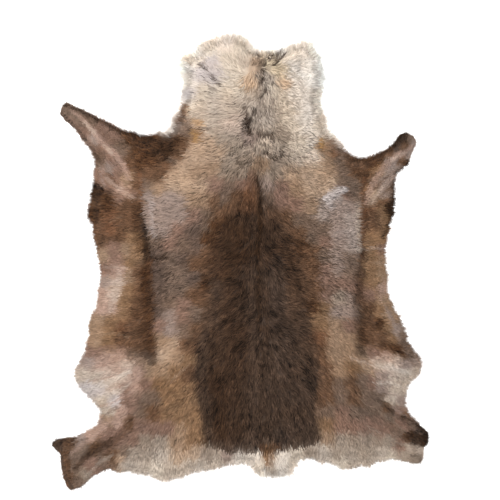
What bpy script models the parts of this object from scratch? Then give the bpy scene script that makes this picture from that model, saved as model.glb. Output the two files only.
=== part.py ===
"""A whole reindeer hide, laid flat with the hair side up.

One skin with its hair on is one piece, so the hide is one solid. Its underside is flat and its top is
the lie of the coat: deep on the neck and back, short on the belly and legs, with soft folds and lumps.
Locks of hair stand out round the rim and taper down to the floor.

Frame: metres, +Z up, +Y from the tail to the neck, +X to the right seen from above. The origin is the
middle of the underside's box. The tables below are in millimetres.
"""

import math
import random
from typing import NamedTuple

import bmesh
import bpy
import numpy as np
from mathutils import Vector, noise
from mathutils.geometry import delaunay_2d_cdt

NAME = "reindeer_hide"
MM = 0.001

# Driving dimensions, in millimetres.
HIDE_LENGTH = 1250.0     # from the neck's left lobe to the end of the left hind leg
TABLE_LENGTH = 1253.0    # the same length as the tables below give it
TIP_DEPTH = 2.0          # a lock's thickness at its tip, and the least depth anywhere
SHOULDER = 18.0          # width over which the coat rises behind the roots of the rim locks
BODY_MESH = 21.0         # spacing of the points that carry the coat's form on the body
NECK_MESH = 15.0         # the same on the neck, where the clumps are smaller
RIM_STEP = 4.0           # spacing at which the rim's curve is worked out

# The rim locks: their mean width, and how they differ, as shares of that width or of their length.
LOCK_WIDTH = 21.0
LOCK_WIDTH_SPREAD = 0.27
LOCK_TIP = 0.14          # half the width of a blunt tip
LOCK_SHORT = 0.45        # the shortest falls this far behind the rim's curve
LOCK_VALLEY = 0.75       # the shallowest valley between two locks
LOCK_LEAN = 0.5          # towards the tail, on the flanks and the neck's sides
LOCK_SWAY = 0.2          # to either side
SEED = 7

COAT_COLOUR = (0.17, 0.115, 0.075, 1.0)
COAT_ROUGHNESS = 0.85


class Cut(NamedTuple):
    """One cut across the neck or the trunk."""

    y: float
    left: float
    right: float
    lock: float


class LegCut(NamedTuple):
    """One cut across a leg, from its head side to its tail side. The last row is the leg's end."""

    fore_x: float
    fore_y: float
    aft_x: float
    aft_y: float
    lock: float


class Rim(NamedTuple):
    """One bend of the rim that runs across the hide."""

    x: float
    y: float
    lock: float


class Coat(NamedTuple):
    """One patch of coat: its middle, how far it reaches, and how deep the hair lies there."""

    x: float
    y: float
    reach: float
    depth: float


class Fold(NamedTuple):
    """One soft ridge (rise above 0) or trough (rise below 0) along a straight run."""

    x0: float
    y0: float
    x1: float
    y1: float
    half_width: float
    rise: float


# The neck's end, left to right: two lobes with a notch between them.
CROWN = (
    Rim(-95, 609, 22), Rim(-52, 623, 22), Rim(-10, 625, 20), Rim(18, 606, 16),
    Rim(46, 582, 12), Rim(82, 578, 12), Rim(118, 584, 14), Rim(140, 597, 18),
    Rim(165, 606, 22), Rim(190, 601, 22),
)

# The neck, from its end down to the shoulders.
NECK = (
    Cut(588, -126, 207, 24), Cut(560, -162, 226, 24), Cut(520, -164, 232, 24), Cut(480, -165, 227, 24),
    Cut(440, -174, 221, 24), Cut(398, -188, 234, 24), Cut(365, -209, 249, 20),
)

# The trunk, from behind the forelegs to the thighs.
TRUNK = (
    Cut(185, -415, 428, 10), Cut(125, -422, 420, 13), Cut(75, -411, 408, 12), Cut(15, -393, 399, 9),
    Cut(-35, -385, 406, 9), Cut(-75, -392, 405, 9), Cut(-120, -399, 422, 10), Cut(-160, -418, 444, 12),
    Cut(-200, -419, 461, 12), Cut(-240, -428, 482, 12), Cut(-280, -447, 500, 12), Cut(-312, -456, 495, 12),
    Cut(-340, -450, 465, 12), Cut(-366, -427, 456, 10), Cut(-392, -399, 456, 8), Cut(-418, -388, 467, 6),
)

# The legs, from the body outwards.
LEFT_FORELEG = (
    LegCut(-269, 342, -404, 235, 6), LegCut(-300, 354, -404, 276, 5), LegCut(-362, 381, -420, 318, 4),
    LegCut(-430, 414, -452, 362, 4), LegCut(-462, 430, -477, 383, 4), LegCut(-484, 436, -497, 409, 4),
)
RIGHT_FORELEG = (
    LegCut(319, 283, 425, 222, 6), LegCut(360, 289, 436, 247, 5), LegCut(400, 305, 463, 273, 4),
    LegCut(424, 328, 470, 302, 4), LegCut(441, 350, 483, 320, 4), LegCut(457, 355, 481, 338, 4),
)
LEFT_HIND_LEG = (
    LegCut(-398, -452, -345, -572, 8), LegCut(-438, -474, -395, -587, 7), LegCut(-478, -483, -424, -609, 5),
    LegCut(-506, -492, -444, -626, 4), LegCut(-520, -505, -467, -628, 4), LegCut(-503, -526, -478, -619, 4),
    LegCut(-491, -541, -489, -588, 4),
)
RIGHT_HIND_LEG = (
    LegCut(490, -440, 390, -543, 6), LegCut(511, -462, 437, -549, 5), LegCut(519, -488, 477, -559, 4),
    LegCut(513, -515, 495, -552, 4),
)

# The rump's edge and the tail, left to right.
RUMP = (
    Rim(-299, -583, 14), Rim(-250, -596, 16), Rim(-207, -603, 16), Rim(-157, -590, 16),
    Rim(-105, -573, 16), Rim(-50, -564, 14), Rim(8, -556, 12), Rim(28, -568, 12),
    Rim(42, -588, 16), Rim(68, -597, 18), Rim(97, -600, 18), Rim(126, -594, 16),
    Rim(142, -580, 14), Rim(152, -558, 12), Rim(182, -545, 12), Rim(218, -543, 12),
    Rim(254, -555, 14), Rim(286, -567, 14), Rim(320, -559, 12), Rim(355, -547, 8),
)

# How deep the coat lies, from the neck to the legs and tail.
COAT = (
    Coat(-70, 560, 90, 42), Coat(165, 550, 80, 42), Coat(45, 480, 110, 50), Coat(-110, 430, 90, 47),
    Coat(180, 430, 80, 45), Coat(40, 350, 120, 42), Coat(60, 230, 140, 34), Coat(-200, 280, 80, 27),
    Coat(280, 250, 80, 27), Coat(70, 50, 160, 31), Coat(80, -200, 160, 31), Coat(60, -430, 160, 29),
    Coat(-180, 60, 100, 28), Coat(285, 60, 90, 28), Coat(-180, -200, 100, 26), Coat(290, -200, 90, 26),
    Coat(-200, -430, 120, 25), Coat(300, -430, 100, 25), Coat(-350, 120, 60, 15), Coat(-345, -50, 60, 12),
    Coat(-380, -280, 70, 15), Coat(385, 120, 60, 14), Coat(385, -50, 60, 12), Coat(430, -270, 60, 14),
    Coat(-330, 300, 50, 14), Coat(-440, 385, 60, 7), Coat(370, 260, 50, 14), Coat(450, 310, 50, 7),
    Coat(-400, -530, 60, 10), Coat(-480, -560, 60, 7), Coat(450, -500, 60, 8), Coat(96, -578, 30, 30),
)

# Folds: crest of the neck, spine, the valleys beside the flanks, legs, thighs and belly.
FOLDS = (
    Fold(55, 545, 80, 300, 30, 7), Fold(75, 250, 62, -530, 34, 5),
    Fold(-272, 175, -262, -240, 20, -11), Fold(-262, -240, -250, -300, 26, -9),
    Fold(346, 175, 342, -230, 20, -11), Fold(342, -230, 330, -300, 24, -7),
    Fold(-465, 405, -300, 285, 18, 6), Fold(460, 335, 370, 250, 16, 6),
    Fold(-300, -430, -460, -560, 18, -6), Fold(-330, -520, -470, -520, 24, 4),
    Fold(370, -380, 500, -485, 16, -5), Fold(380, -470, 480, -530, 22, 4),
    Fold(-400, 60, -370, -120, 14, 5), Fold(420, 90, 410, -90, 14, 5),
    Fold(-330, -330, -430, -290, 22, 7), Fold(350, -330, 470, -290, 20, 7),
)


class LumpKind(NamedTuple):
    """A kind of lump: how wide and how long it runs, and its height as a share of the depth."""

    across: float
    along: float
    share: float


BODY_LUMPS = LumpKind(across=75.0, along=120.0, share=0.14)
NECK_LUMPS = LumpKind(across=95.0, along=42.0, share=0.26)
FINE_LUMPS = LumpKind(across=34.0, along=46.0, share=0.08)
NECK_FROM, NECK_FULL = 240.0, 360.0     # between these heights the neck's lumps take over


def clear_scene():
    """Remove every object that the file starts with."""
    for item in list(bpy.data.objects):
        bpy.data.objects.remove(item, do_unlink=True)


def smoothstep(value, low, high):
    """0 below low, 1 above high, and a smooth rise between them."""
    share = np.clip((value - low) / (high - low), 0.0, 1.0)
    return share * share * (3.0 - 2.0 * share)


def leg_rim(leg, head_side_first):
    """The rim round one leg: out along one side, over the end and back along the other."""
    fore = [(cut.fore_x, cut.fore_y, cut.lock) for cut in leg]
    aft = [(cut.aft_x, cut.aft_y, cut.lock) for cut in leg]
    return fore + aft[::-1] if head_side_first else aft + fore[::-1]


def rim_bends():
    """Every bend of the rim with its lock length, anticlockwise from the neck's right lobe."""
    left = [(cut.left, cut.y, cut.lock) for cut in NECK]
    left += leg_rim(LEFT_FORELEG, True)
    left += [(cut.left, cut.y, cut.lock) for cut in TRUNK]
    left += leg_rim(LEFT_HIND_LEG, True)
    right = leg_rim(RIGHT_HIND_LEG, False)
    right += [(cut.right, cut.y, cut.lock) for cut in TRUNK[::-1]]
    right += leg_rim(RIGHT_FORELEG, False)
    right += [(cut.right, cut.y, cut.lock) for cut in NECK[::-1]]
    crown = [tuple(bend) for bend in CROWN[::-1]]
    rump = [tuple(bend) for bend in RUMP]
    return np.array(crown + left + rump + right, dtype=float)


def smooth_loop(bends, step):
    """A closed Catmull-Rom curve through the bends, with a point about every step millimetres."""
    before, after, beyond = np.roll(bends, 1, 0), np.roll(bends, -1, 0), np.roll(bends, -2, 0)
    runs = []
    for a, b, c, d in zip(before, bends, after, beyond):
        count = max(2, round(math.dist(b[:2], c[:2]) / step))
        t = (np.arange(count) / count)[:, None]
        runs.append(0.5 * (2 * b + (c - a) * t + (2 * a - 5 * b + 4 * c - d) * t**2
                           + (3 * b - a - 3 * c + d) * t**3))
    return np.concatenate(runs)


def outward_normals(loop):
    """Unit normals that point out of an anticlockwise loop."""
    run = np.roll(loop, -1, 0) - np.roll(loop, 1, 0)
    normals = np.stack([run[:, 1], -run[:, 0]], axis=1)
    return normals / np.linalg.norm(normals, axis=1, keepdims=True)


class RimCurve:
    """The rim's closed curve, read at any distance along it."""

    def __init__(self, reach):
        rows = np.column_stack([reach, outward_normals(reach[:, :2])])
        self.rows = np.vstack([rows, rows[:1]])
        steps = np.linalg.norm(np.diff(self.rows[:, :2], axis=0), axis=1)
        self.at = np.concatenate([[0.0], np.cumsum(steps)])
        self.length = self.at[-1]

    def read(self, distance):
        """The place, the lock length and the outward normal at a distance along the rim."""
        return [np.interp(distance % self.length, self.at, column) for column in self.rows.T]


def locked_rim(reach):
    """The rim with its locks: for each a valley behind the rim's curve and a blunt tip near it."""
    rng = random.Random(SEED)
    curve = RimCurve(reach)
    count = round(curve.length / LOCK_WIDTH)
    width = curve.length / count
    valleys = [(index + rng.uniform(-1, 1) * LOCK_WIDTH_SPREAD) * width for index in range(count)]
    points = []
    for start, end in zip(valleys, valleys[1:] + [valleys[0] + curve.length]):
        x, y, lock, out_x, out_y = curve.read(start)
        depth = rng.uniform(LOCK_VALLEY, 1.0) * lock
        points.append((x - out_x * depth, y - out_y * depth))
        middle, half = (start + end) / 2, LOCK_TIP * (end - start)
        short, sway = rng.uniform(0.0, LOCK_SHORT), rng.uniform(-LOCK_SWAY, LOCK_SWAY)
        for side in (-half, half):
            x, y, lock, out_x, out_y = curve.read(middle + side)
            along_x, along_y = -out_y * sway, out_x * sway - LOCK_LEAN * out_x * out_x
            points.append((x + lock * (along_x - out_x * short), y + lock * (along_y - out_y * short)))
    return np.array(points)


def rim_distance(points, reach):
    """Distance from each point to the rim's curve, with the lock length at the nearest place."""
    nearest = np.full(len(points), np.inf)
    lock = np.zeros(len(points))
    for x, y, length in reach:
        distance = np.hypot(points[:, 0] - x, points[:, 1] - y)
        closer = distance < nearest
        nearest[closer] = distance[closer]
        lock[closer] = length
    return nearest, lock


def inside(points, loop):
    """Whether each point lies inside a closed loop, by counting the edges to its right."""
    odd = np.zeros(len(points), dtype=bool)
    for (x0, y0), (x1, y1) in zip(loop, np.roll(loop, -1, 0)):
        if y0 == y1:
            continue
        spans = (points[:, 1] > min(y0, y1)) & (points[:, 1] <= max(y0, y1))
        crossing = x0 + (points[:, 1] - y0) * (x1 - x0) / (y1 - y0)
        odd ^= spans & (crossing > points[:, 0])
    return odd


def staggered_grid(low, high, spacing):
    """Points in staggered rows over a box, so that the triangles between them are nearly even."""
    rise = spacing * math.sqrt(3) / 2
    rows = np.arange(low[1], high[1], rise)
    columns = np.arange(low[0], high[0], spacing)
    x, y = np.meshgrid(columns, rows)
    x[1::2] += spacing / 2
    return np.column_stack([x.ravel(), y.ravel()])


def inner_points(reach):
    """The points between the rim locks that carry the coat's form, closer together on the neck."""
    low, high = reach[:, :2].min(axis=0), reach[:, :2].max(axis=0)
    body = staggered_grid(low, (high[0], NECK_FROM), BODY_MESH)
    neck = staggered_grid((low[0], NECK_FROM + BODY_MESH / 2), high, NECK_MESH)
    points = np.vstack([body, neck])
    points = points[inside(points, reach[:, :2])]
    distance, lock = rim_distance(points, reach)
    return points[distance > lock + BODY_MESH / 2]


def coat_depth(points):
    """Depth of the coat away from the rim: each patch counts by a bell curve over its reach."""
    weights = [np.exp(-((points[:, 0] - patch.x) ** 2 + (points[:, 1] - patch.y) ** 2) / patch.reach**2)
               for patch in COAT]
    depths = np.array([patch.depth for patch in COAT])
    return (depths @ np.array(weights)) / np.sum(weights, axis=0)


def fold_rise(points):
    """Height of all the folds together: each is a bell curve across its straight run."""
    total = np.zeros(len(points))
    for fold in FOLDS:
        start = np.array([fold.x0, fold.y0])
        run = np.array([fold.x1, fold.y1]) - start
        share = np.clip((points - start) @ run / (run @ run), 0.0, 1.0)
        away = np.linalg.norm(points - start - share[:, None] * run, axis=1)
        total += fold.rise * np.exp(-((away / fold.half_width) ** 2))
    return total


def lump_rise(points, kind):
    """Height of one kind of lump, as a share of the depth, from smooth noise."""
    values = [noise.noise(Vector((x / kind.across, y / kind.along, kind.share))) for x, y in points]
    return kind.share * np.array(values)


def top_height(points, reach):
    """Height of the coat's top: depth, folds and lumps, which all fade out towards the rim."""
    distance, lock = rim_distance(points, reach)
    depth = coat_depth(points)
    neck = smoothstep(points[:, 1], NECK_FROM, NECK_FULL)
    lumps = (1 - neck) * lump_rise(points, BODY_LUMPS) + neck * lump_rise(points, NECK_LUMPS)
    lumps += lump_rise(points, FINE_LUMPS)
    full = depth * (1.0 + 2.0 * lumps) + fold_rise(points)
    rise = np.sin(0.5 * math.pi * np.clip(distance / (1.5 * lock + SHOULDER), 0.0, 1.0)) ** 1.3
    return TIP_DEPTH + np.maximum(full - TIP_DEPTH, 0.0) * rise


def make_hide(collection):
    """Model the hide: its plan is meshed flat, drawn up to a slab, and its top set to the coat."""
    reach = smooth_loop(rim_bends(), RIM_STEP)
    rim = locked_rim(reach)
    plan = np.vstack([rim, inner_points(reach)])
    edges = [(index, (index + 1) % len(rim)) for index in range(len(rim))]
    inside_only = 1
    placed, _, faces, *_ = delaunay_2d_cdt([Vector(p) for p in plan], edges, [], inside_only, 1e-4)
    placed = np.array([tuple(p) for p in placed])
    heights = top_height(placed, reach)

    scale = MM * HIDE_LENGTH / TABLE_LENGTH
    middle = (placed.min(axis=0) + placed.max(axis=0)) / 2
    flat = (placed - middle) * scale

    mesh = bmesh.new()
    sheet = [mesh.verts.new((x, y, z)) for (x, y), z in zip(flat, heights * MM)]
    for face in faces:
        mesh.faces.new([sheet[corner] for corner in face])
    drawn = bmesh.ops.extrude_face_region(mesh, geom=list(mesh.faces), use_keep_orig=True)
    under = [item for item in drawn["geom"] if isinstance(item, bmesh.types.BMVert)]
    for vertex in under:
        vertex.co.z = 0.0
    buried = [vertex for vertex in under
              if all(edge.other_vert(vertex).co.z == 0.0 for edge in vertex.link_edges)]
    bmesh.ops.dissolve_verts(mesh, verts=buried)
    bmesh.ops.recalc_face_normals(mesh, faces=mesh.faces)
    bmesh.ops.triangulate(mesh, faces=[face for face in mesh.faces if len(face.verts) > 3])

    data = bpy.data.meshes.new(NAME)
    mesh.to_mesh(data)
    mesh.free()
    data.shade_smooth()
    data.set_sharp_from_angle(angle=math.radians(40))
    hide = bpy.data.objects.new(NAME, data)
    collection.objects.link(hide)
    hide.data.materials.append(coat_material())
    return hide


def coat_material():
    """The coat's mean colour, a dull brown."""
    material = bpy.data.materials.new("coat")
    material.use_nodes = True
    shader = material.node_tree.nodes["Principled BSDF"]
    shader.inputs["Base Color"].default_value = COAT_COLOUR
    shader.inputs["Roughness"].default_value = COAT_ROUGHNESS
    shader.inputs["Metallic"].default_value = 0.0
    return material


def main():
    """Build the hide in a collection of its own."""
    clear_scene()
    collection = bpy.data.collections.new(NAME)
    bpy.context.scene.collection.children.link(collection)
    make_hide(collection)


main()
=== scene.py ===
"""The looks of a whole reindeer hide, laid flat with the hair side up.

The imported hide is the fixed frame. Its top is read as a height over the plan, and everything here
follows it: a tanned skin underneath, a dense undercoat in the solid's form, and locks of hair that lie
on it along the lie of the coat, long and shaggy on the neck and short and sleek on the belly and legs.

Tables are in millimetres from the middle of the hide, +Y towards the neck, +X to the right.
"""

import logging
import math
from dataclasses import dataclass, field
from enum import Enum

import bmesh
import bpy
import numpy as np
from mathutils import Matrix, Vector


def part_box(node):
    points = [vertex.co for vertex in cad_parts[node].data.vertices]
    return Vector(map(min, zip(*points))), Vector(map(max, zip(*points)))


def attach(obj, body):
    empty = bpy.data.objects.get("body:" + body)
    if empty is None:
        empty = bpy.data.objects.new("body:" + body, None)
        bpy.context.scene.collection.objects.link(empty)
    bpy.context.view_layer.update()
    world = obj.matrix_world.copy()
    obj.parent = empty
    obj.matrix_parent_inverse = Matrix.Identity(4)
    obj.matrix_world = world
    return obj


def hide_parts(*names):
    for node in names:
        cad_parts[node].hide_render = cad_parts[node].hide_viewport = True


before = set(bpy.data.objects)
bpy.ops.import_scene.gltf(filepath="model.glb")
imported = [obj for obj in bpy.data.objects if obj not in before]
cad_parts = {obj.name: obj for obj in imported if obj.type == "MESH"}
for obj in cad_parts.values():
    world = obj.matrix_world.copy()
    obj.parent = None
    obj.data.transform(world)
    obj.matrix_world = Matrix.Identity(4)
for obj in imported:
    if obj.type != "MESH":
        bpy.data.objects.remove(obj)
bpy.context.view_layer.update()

NODE = "reindeer_hide"
MM = 0.001
EXPOSURE = 1.34
LONG_HAIR = (24 * MM, 46 * MM)  # from where hair counts as long, and where it does in full
SLIDES = 6  # times that a rim point slides towards the edge
SLIDE_SHARE = 0.8  # of the way to it, each time
LEAST_SLOPE = 0.05  # the flattest slope that a slide counts with
log = logging.getLogger("reindeer_hide")


# ---- Numbers over the plan ----

def hashed(cells: np.ndarray, seed: int) -> np.ndarray:
    """One even random number from 0 to 1 for each whole-numbered cell, the same at every run.

    Args:
        cells: Whole numbers, one row of two for each place.
        seed: Picks one of many unlike sets of numbers.

    Returns:
        One number for each row.
    """
    i, j = cells[:, 0].astype(np.int64), cells[:, 1].astype(np.int64)
    n = (i * 73856093) ^ (j * 19349663) ^ (seed * 83492791 + 12345)
    n = (n ^ (n >> 13)) * 1274126177
    return ((n ^ (n >> 16)) & 0xFFFF) / 65535.0


def smooth_noise(places: np.ndarray, size: float, seed: int) -> np.ndarray:
    """Soft random hills: cell corners get random heights, and the places between them a smooth mix.

    Args:
        places: Points of the plan in metres.
        size: Width of a cell in metres.
        seed: Picks one of many unlike patterns.

    Returns:
        A height from -1 to 1 for each point.
    """
    cell = np.floor(places / size)
    part = places / size - cell
    part = part * part * (3.0 - 2.0 * part)
    total = np.zeros(len(places))
    for i in (0, 1):
        for j in (0, 1):
            share = (part[:, 0] if i else 1 - part[:, 0]) * (part[:, 1] if j else 1 - part[:, 1])
            total += share * hashed(cell + (i, j), seed)
    return 2.0 * total - 1.0


def smoothstep(value: np.ndarray, low: float, high: float) -> np.ndarray:
    """0 below low, 1 above high, and a smooth rise between them."""
    share = np.clip((value - low) / (high - low), 0.0, 1.0)
    return share * share * (3.0 - 2.0 * share)


def from_to(pair: tuple[float, float], share: np.ndarray) -> np.ndarray:
    """From the pair's first number at share 0 to its second at share 1."""
    return pair[0] + (pair[1] - pair[0]) * share


def unit(rows: np.ndarray) -> np.ndarray:
    """The vectors along the last axis, each made 1 long."""
    return rows / np.maximum(np.linalg.norm(rows, axis=-1, keepdims=True), 1e-6)


@dataclass(frozen=True)
class Waves:
    """Soft hills over the plan: their height, their width, and the seed that picks them."""

    height: float
    width: float
    seed: int

    def at(self, places: np.ndarray) -> np.ndarray:
        """How high they are at each place, below 0 in the hollows."""
        return self.height * smooth_noise(places, self.width, self.seed)


def bells(places: np.ndarray, rows: tuple) -> np.ndarray:
    """How much each row of a table counts at each place: 1 at its middle, falling past its reach.

    Args:
        places: Points of the plan in metres.
        rows: Rows with x, y and reach in millimetres.

    Returns:
        A column for each row of the table.
    """
    middle = np.array([(row.x, row.y) for row in rows]) * MM
    reach = np.array([row.reach for row in rows]) * MM
    away = ((places[:, None, :] - middle[None]) ** 2).sum(axis=2)
    return (1 + away / reach**2) ** -3


@dataclass
class PlanField:
    """Numbers on an even grid over the plan, read anywhere between its points.

    Attributes:
        low: The grid's first corner, in metres.
        step: Its spacing, in metres.
        values: One number for each grid point, a row for each y.
    """

    low: np.ndarray
    step: float
    values: np.ndarray

    def points(self) -> np.ndarray:
        """Every grid point, in the order of values.ravel()."""
        rows, columns = self.values.shape
        x, y = np.meshgrid(np.arange(columns), np.arange(rows))
        return self.low + self.step * np.column_stack([x.ravel(), y.ravel()])

    def at(self, places: np.ndarray) -> np.ndarray:
        """The number at each place: a straight mix of the four grid points round it.

        Args:
            places: Points of the plan, one row of x and y each.

        Returns:
            One number for each place.
        """
        rows, columns = self.values.shape
        q = np.clip((places - self.low) / self.step, 0, (columns - 1.001, rows - 1.001))
        i = np.floor(q).astype(int)
        s, t = (q - i).T
        v = self.values
        near = v[i[:, 1], i[:, 0]] * (1 - s) + v[i[:, 1], i[:, 0] + 1] * s
        far = v[i[:, 1] + 1, i[:, 0]] * (1 - s) + v[i[:, 1] + 1, i[:, 0] + 1] * s
        return near * (1 - t) + far * t

    def slope(self, places: np.ndarray) -> np.ndarray:
        """The direction and steepness of the rise at each place, from points a step apart."""
        across, up = np.array([self.step, 0.0]), np.array([0.0, self.step])
        rise_x = self.at(places + across) - self.at(places - across)
        rise_y = self.at(places + up) - self.at(places - up)
        return np.column_stack([rise_x, rise_y]) / (2 * self.step)

    def blurred(self, radius: float) -> "PlanField":
        """The same field smoothed by a bell curve.

        Args:
            radius: The bell curve's standard deviation, in metres.

        Returns:
            A new field on the same grid.
        """
        reach = max(1, math.ceil(3 * radius / self.step))
        bell = np.exp(-0.5 * (np.arange(-reach, reach + 1) * self.step / radius) ** 2)
        bell /= bell.sum()
        values = np.pad(self.values, reach, mode="edge")
        rows, columns = self.values.shape
        across = sum(share * values[:, k:k + columns] for k, share in enumerate(bell))
        both = sum(share * across[k:k + rows] for k, share in enumerate(bell))
        return PlanField(self.low, self.step, both)


def cells_to(mask: np.ndarray) -> np.ndarray:
    """Straight-line distance, in grid cells, from each cell to the nearest one that the mask holds.

    Along each row the nearest cell is found by running maxima; down each column the squares are then
    compared, which gives the exact distance in the plane.
    """
    rows, columns = mask.shape
    far = rows + columns
    place = np.arange(columns)
    left = np.maximum.accumulate(np.where(mask, place, -far), axis=1)
    right = np.minimum.accumulate(np.where(mask, place, 2 * far)[:, ::-1], axis=1)[:, ::-1]
    across = np.minimum(np.minimum(place - left, right - place), far).astype(float) ** 2
    apart = (np.arange(rows)[:, None] - np.arange(rows)[None, :]).astype(float) ** 2
    return np.sqrt(np.stack([(apart + across[:, k]).min(axis=1) for k in range(columns)], axis=1))


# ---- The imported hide, read as fields over the plan ----

@dataclass
class HideForm:
    """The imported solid's top and outline, as fields over the plan.

    Attributes:
        step: Spacing of the fields' grid.
        margin: Width of the strip of floor round the hide that the fields take in.
        bridge: Gaps between rim locks up to twice this wide count as filled with hair.
        smoothing: Radius over which the solid's facets are smoothed.
        rim_smoothing: Radius over which the rim's line is smoothed.
        overhang: How far the hair stands out past the solid's rim where the table adds nothing.
    """

    step: float = 3 * MM
    margin: float = 45 * MM
    bridge: float = 4.5 * MM
    smoothing: float = 6 * MM
    rim_smoothing: float = 2.4 * MM
    overhang: float = 3.0 * MM
    top: PlanField = field(init=False)
    inside: PlanField = field(init=False)

    def __post_init__(self) -> None:
        """Read the node's triangles and work out both fields."""
        low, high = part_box(NODE)
        low = np.array(low[:2]) - self.margin
        columns, rows = np.ceil((np.array(high[:2]) + self.margin - low) / self.step).astype(int) + 1
        heights = self.heights(low, rows, columns)
        covered = heights > 0.0
        sheet = PlanField(low, self.step, heights).blurred(self.smoothing).values
        share = PlanField(low, self.step, covered.astype(float)).blurred(self.smoothing).values
        smooth = np.where(covered, sheet / np.maximum(share, 1e-6), 0.0)
        self.top = PlanField(low, self.step, smooth)
        grown = cells_to(covered) * self.step <= self.bridge
        self.inside = PlanField(low, self.step, cells_to(~grown) * self.step - self.bridge)
        more = bells(self.top.points(), OVERHANGS) @ [row.more * MM for row in OVERHANGS]
        self.inside.values += self.overhang + more.reshape(self.top.values.shape)
        self.inside = self.inside.blurred(self.rim_smoothing)

    def heights(self, low: np.ndarray, rows: int, columns: int) -> np.ndarray:
        """The height of the solid's top over each grid point, 0 beside the solid.

        Each triangle that faces up is tried against the grid points in its own small box: a point
        belongs to it when its three area shares are all positive, and they also mix the height.
        """
        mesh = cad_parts[NODE].data
        mesh.calc_loop_triangles()
        corners = np.empty(len(mesh.loop_triangles) * 3, dtype=np.int32)
        mesh.loop_triangles.foreach_get("vertices", corners)
        places = np.empty(len(mesh.vertices) * 3, dtype=np.float32)
        mesh.vertices.foreach_get("co", places)
        a, b, c = places.reshape(-1, 3).astype(float)[corners.reshape(-1, 3)].transpose(1, 0, 2)
        facing = np.cross(b - a, c - a)[:, 2]
        a, b, c, facing = (part[facing > 1e-12] for part in (a, b, c, facing))

        first = np.floor((np.minimum(np.minimum(a, b), c)[:, :2] - low) / self.step).astype(int)
        last = np.ceil((np.maximum(np.maximum(a, b), c)[:, :2] - low) / self.step).astype(int)
        reach = (last - first).max() + 1
        i, j = (part.ravel() for part in np.meshgrid(np.arange(reach), np.arange(reach)))
        cells = first[:, None, :] + np.stack([i, j], axis=1)[None]
        point = low + cells * self.step

        def area(p: np.ndarray, q: np.ndarray) -> np.ndarray:
            """Twice the signed area of the point with one side, over the triangle's own."""
            side, spoke = (q - p)[:, None, :2], point - p[:, None, :2]
            return (side[..., 0] * spoke[..., 1] - side[..., 1] * spoke[..., 0]) / facing[:, None]

        at_a, at_b, at_c = area(b, c), area(c, a), area(a, b)
        hit = np.minimum(np.minimum(at_a, at_b), at_c) >= -1e-6
        z = at_a * a[:, None, 2] + at_b * b[:, None, 2] + at_c * c[:, None, 2]
        heights = np.zeros((rows, columns))
        spots = cells[hit]
        kept = (spots >= 0).all(axis=1) & (spots < (columns, rows)).all(axis=1)
        np.maximum.at(heights, (spots[kept, 1], spots[kept, 0]), z[hit][kept])
        return heights


# ---- The coat: its colours and how its hair lies ----

class Tint(Enum):
    """The colours of the coat and skin, as they look in the studio's light."""

    IVORY = (246, 238, 229)
    CREAM = (232, 219, 206)
    FAWN = (226, 209, 194)
    SAND = (222, 202, 174)
    PALE = (218, 202, 184)
    LILAC = (206, 194, 190)
    OAT = (199, 182, 166)
    ASH = (158, 140, 124)
    SOOT = (82, 66, 56)
    SLATE = (107, 88, 77)
    PEACH = (212, 182, 154)
    GOLD = (184, 144, 92)
    BEIGE = (190, 163, 139)
    TAN = (168, 139, 114)
    SILVER = (176, 160, 151)
    STONE = (172, 155, 139)
    ROSE = (148, 117, 101)
    OCHRE = (146, 113, 84)
    BARK = (67, 46, 31)
    TAWNY = (150, 117, 88)
    TAUPE = (164, 144, 133)
    DUSK = (128, 106, 91)
    BROWN = (114, 84, 63)
    RUST = (124, 87, 63)
    UMBER = (86, 58, 38)
    CHOCOLATE = (81, 63, 51)
    DARK = (54, 36, 22)
    PINK = (188, 157, 140)
    BLUSH = (210, 188, 172)

    def linear(self) -> np.ndarray:
        """The colour as the amounts of light that a shader takes, under a light of EXPOSURE."""
        share = np.array(self.value) / 255.0
        return np.where(share <= 0.04045, share / 12.92, ((share + 0.055) / 1.055) ** 2.4) / EXPOSURE


T = Tint  # a short name for the tables


@dataclass(frozen=True)
class Spot:
    """A round place of a table: its middle and how far it reaches, in millimetres."""

    x: float
    y: float
    reach: float


@dataclass(frozen=True)
class Patch(Spot):
    """One soft patch of colour."""

    tint: Tint


@dataclass(frozen=True)
class Ticking(Spot):
    """A place where some of the hairs are dark among paler ones: share is how many at its middle."""

    share: float


@dataclass(frozen=True)
class Overhang(Spot):
    """A stretch of the rim where the hair stands further out past the solid, or less far."""

    more: float


@dataclass(frozen=True)
class Lie(Spot):
    """How the hair lies round one place.

    heading is in degrees from straight tailwards, positive towards +X; length is the hair's, and shag
    goes from 0, sleek, to 1, in loose tufts.
    """

    heading: float
    length: float
    shag: float


@dataclass(frozen=True)
class Streak:
    """One streak of colour along a bent run, wider and narrower as it goes.

    Attributes:
        tint: Its colour.
        strength: How much it covers.
        points: x, y and half the width at each point of the run.
        edge: Where its cover starts to fall and where it ends, as shares of half the width.
    """

    tint: Tint
    strength: float
    points: list[tuple[float, float, float]]
    edge: tuple[float, float] = (0.4, 1.6)

    def near(self, places: np.ndarray) -> np.ndarray:
        """The numbers of the places in the box round the streak."""
        points = np.array(self.points)
        reach = points[:, 2].max() * self.edge[1]
        low, high = points[:, :2].min(axis=0) - reach, points[:, :2].max(axis=0) + reach
        return np.flatnonzero(((places > low * MM) & (places < high * MM)).all(axis=1))

    def cover(self, places: np.ndarray) -> np.ndarray:
        """How much of each place it covers: the most that any of its straight pieces does."""
        total = np.zeros(len(places))
        for (x0, y0, start), (x1, y1, end) in zip(self.points, self.points[1:]):
            spoke, run = places / MM - (x0, y0), np.array([x1 - x0, y1 - y0])
            along = np.clip(spoke @ run / (run @ run), 0.0, 1.0)
            away = np.linalg.norm(spoke - along[:, None] * run, axis=1) / (start + (end - start) * along)
            total = np.maximum(total, 1 - smoothstep(away, *self.edge))
        return self.strength * total


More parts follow.
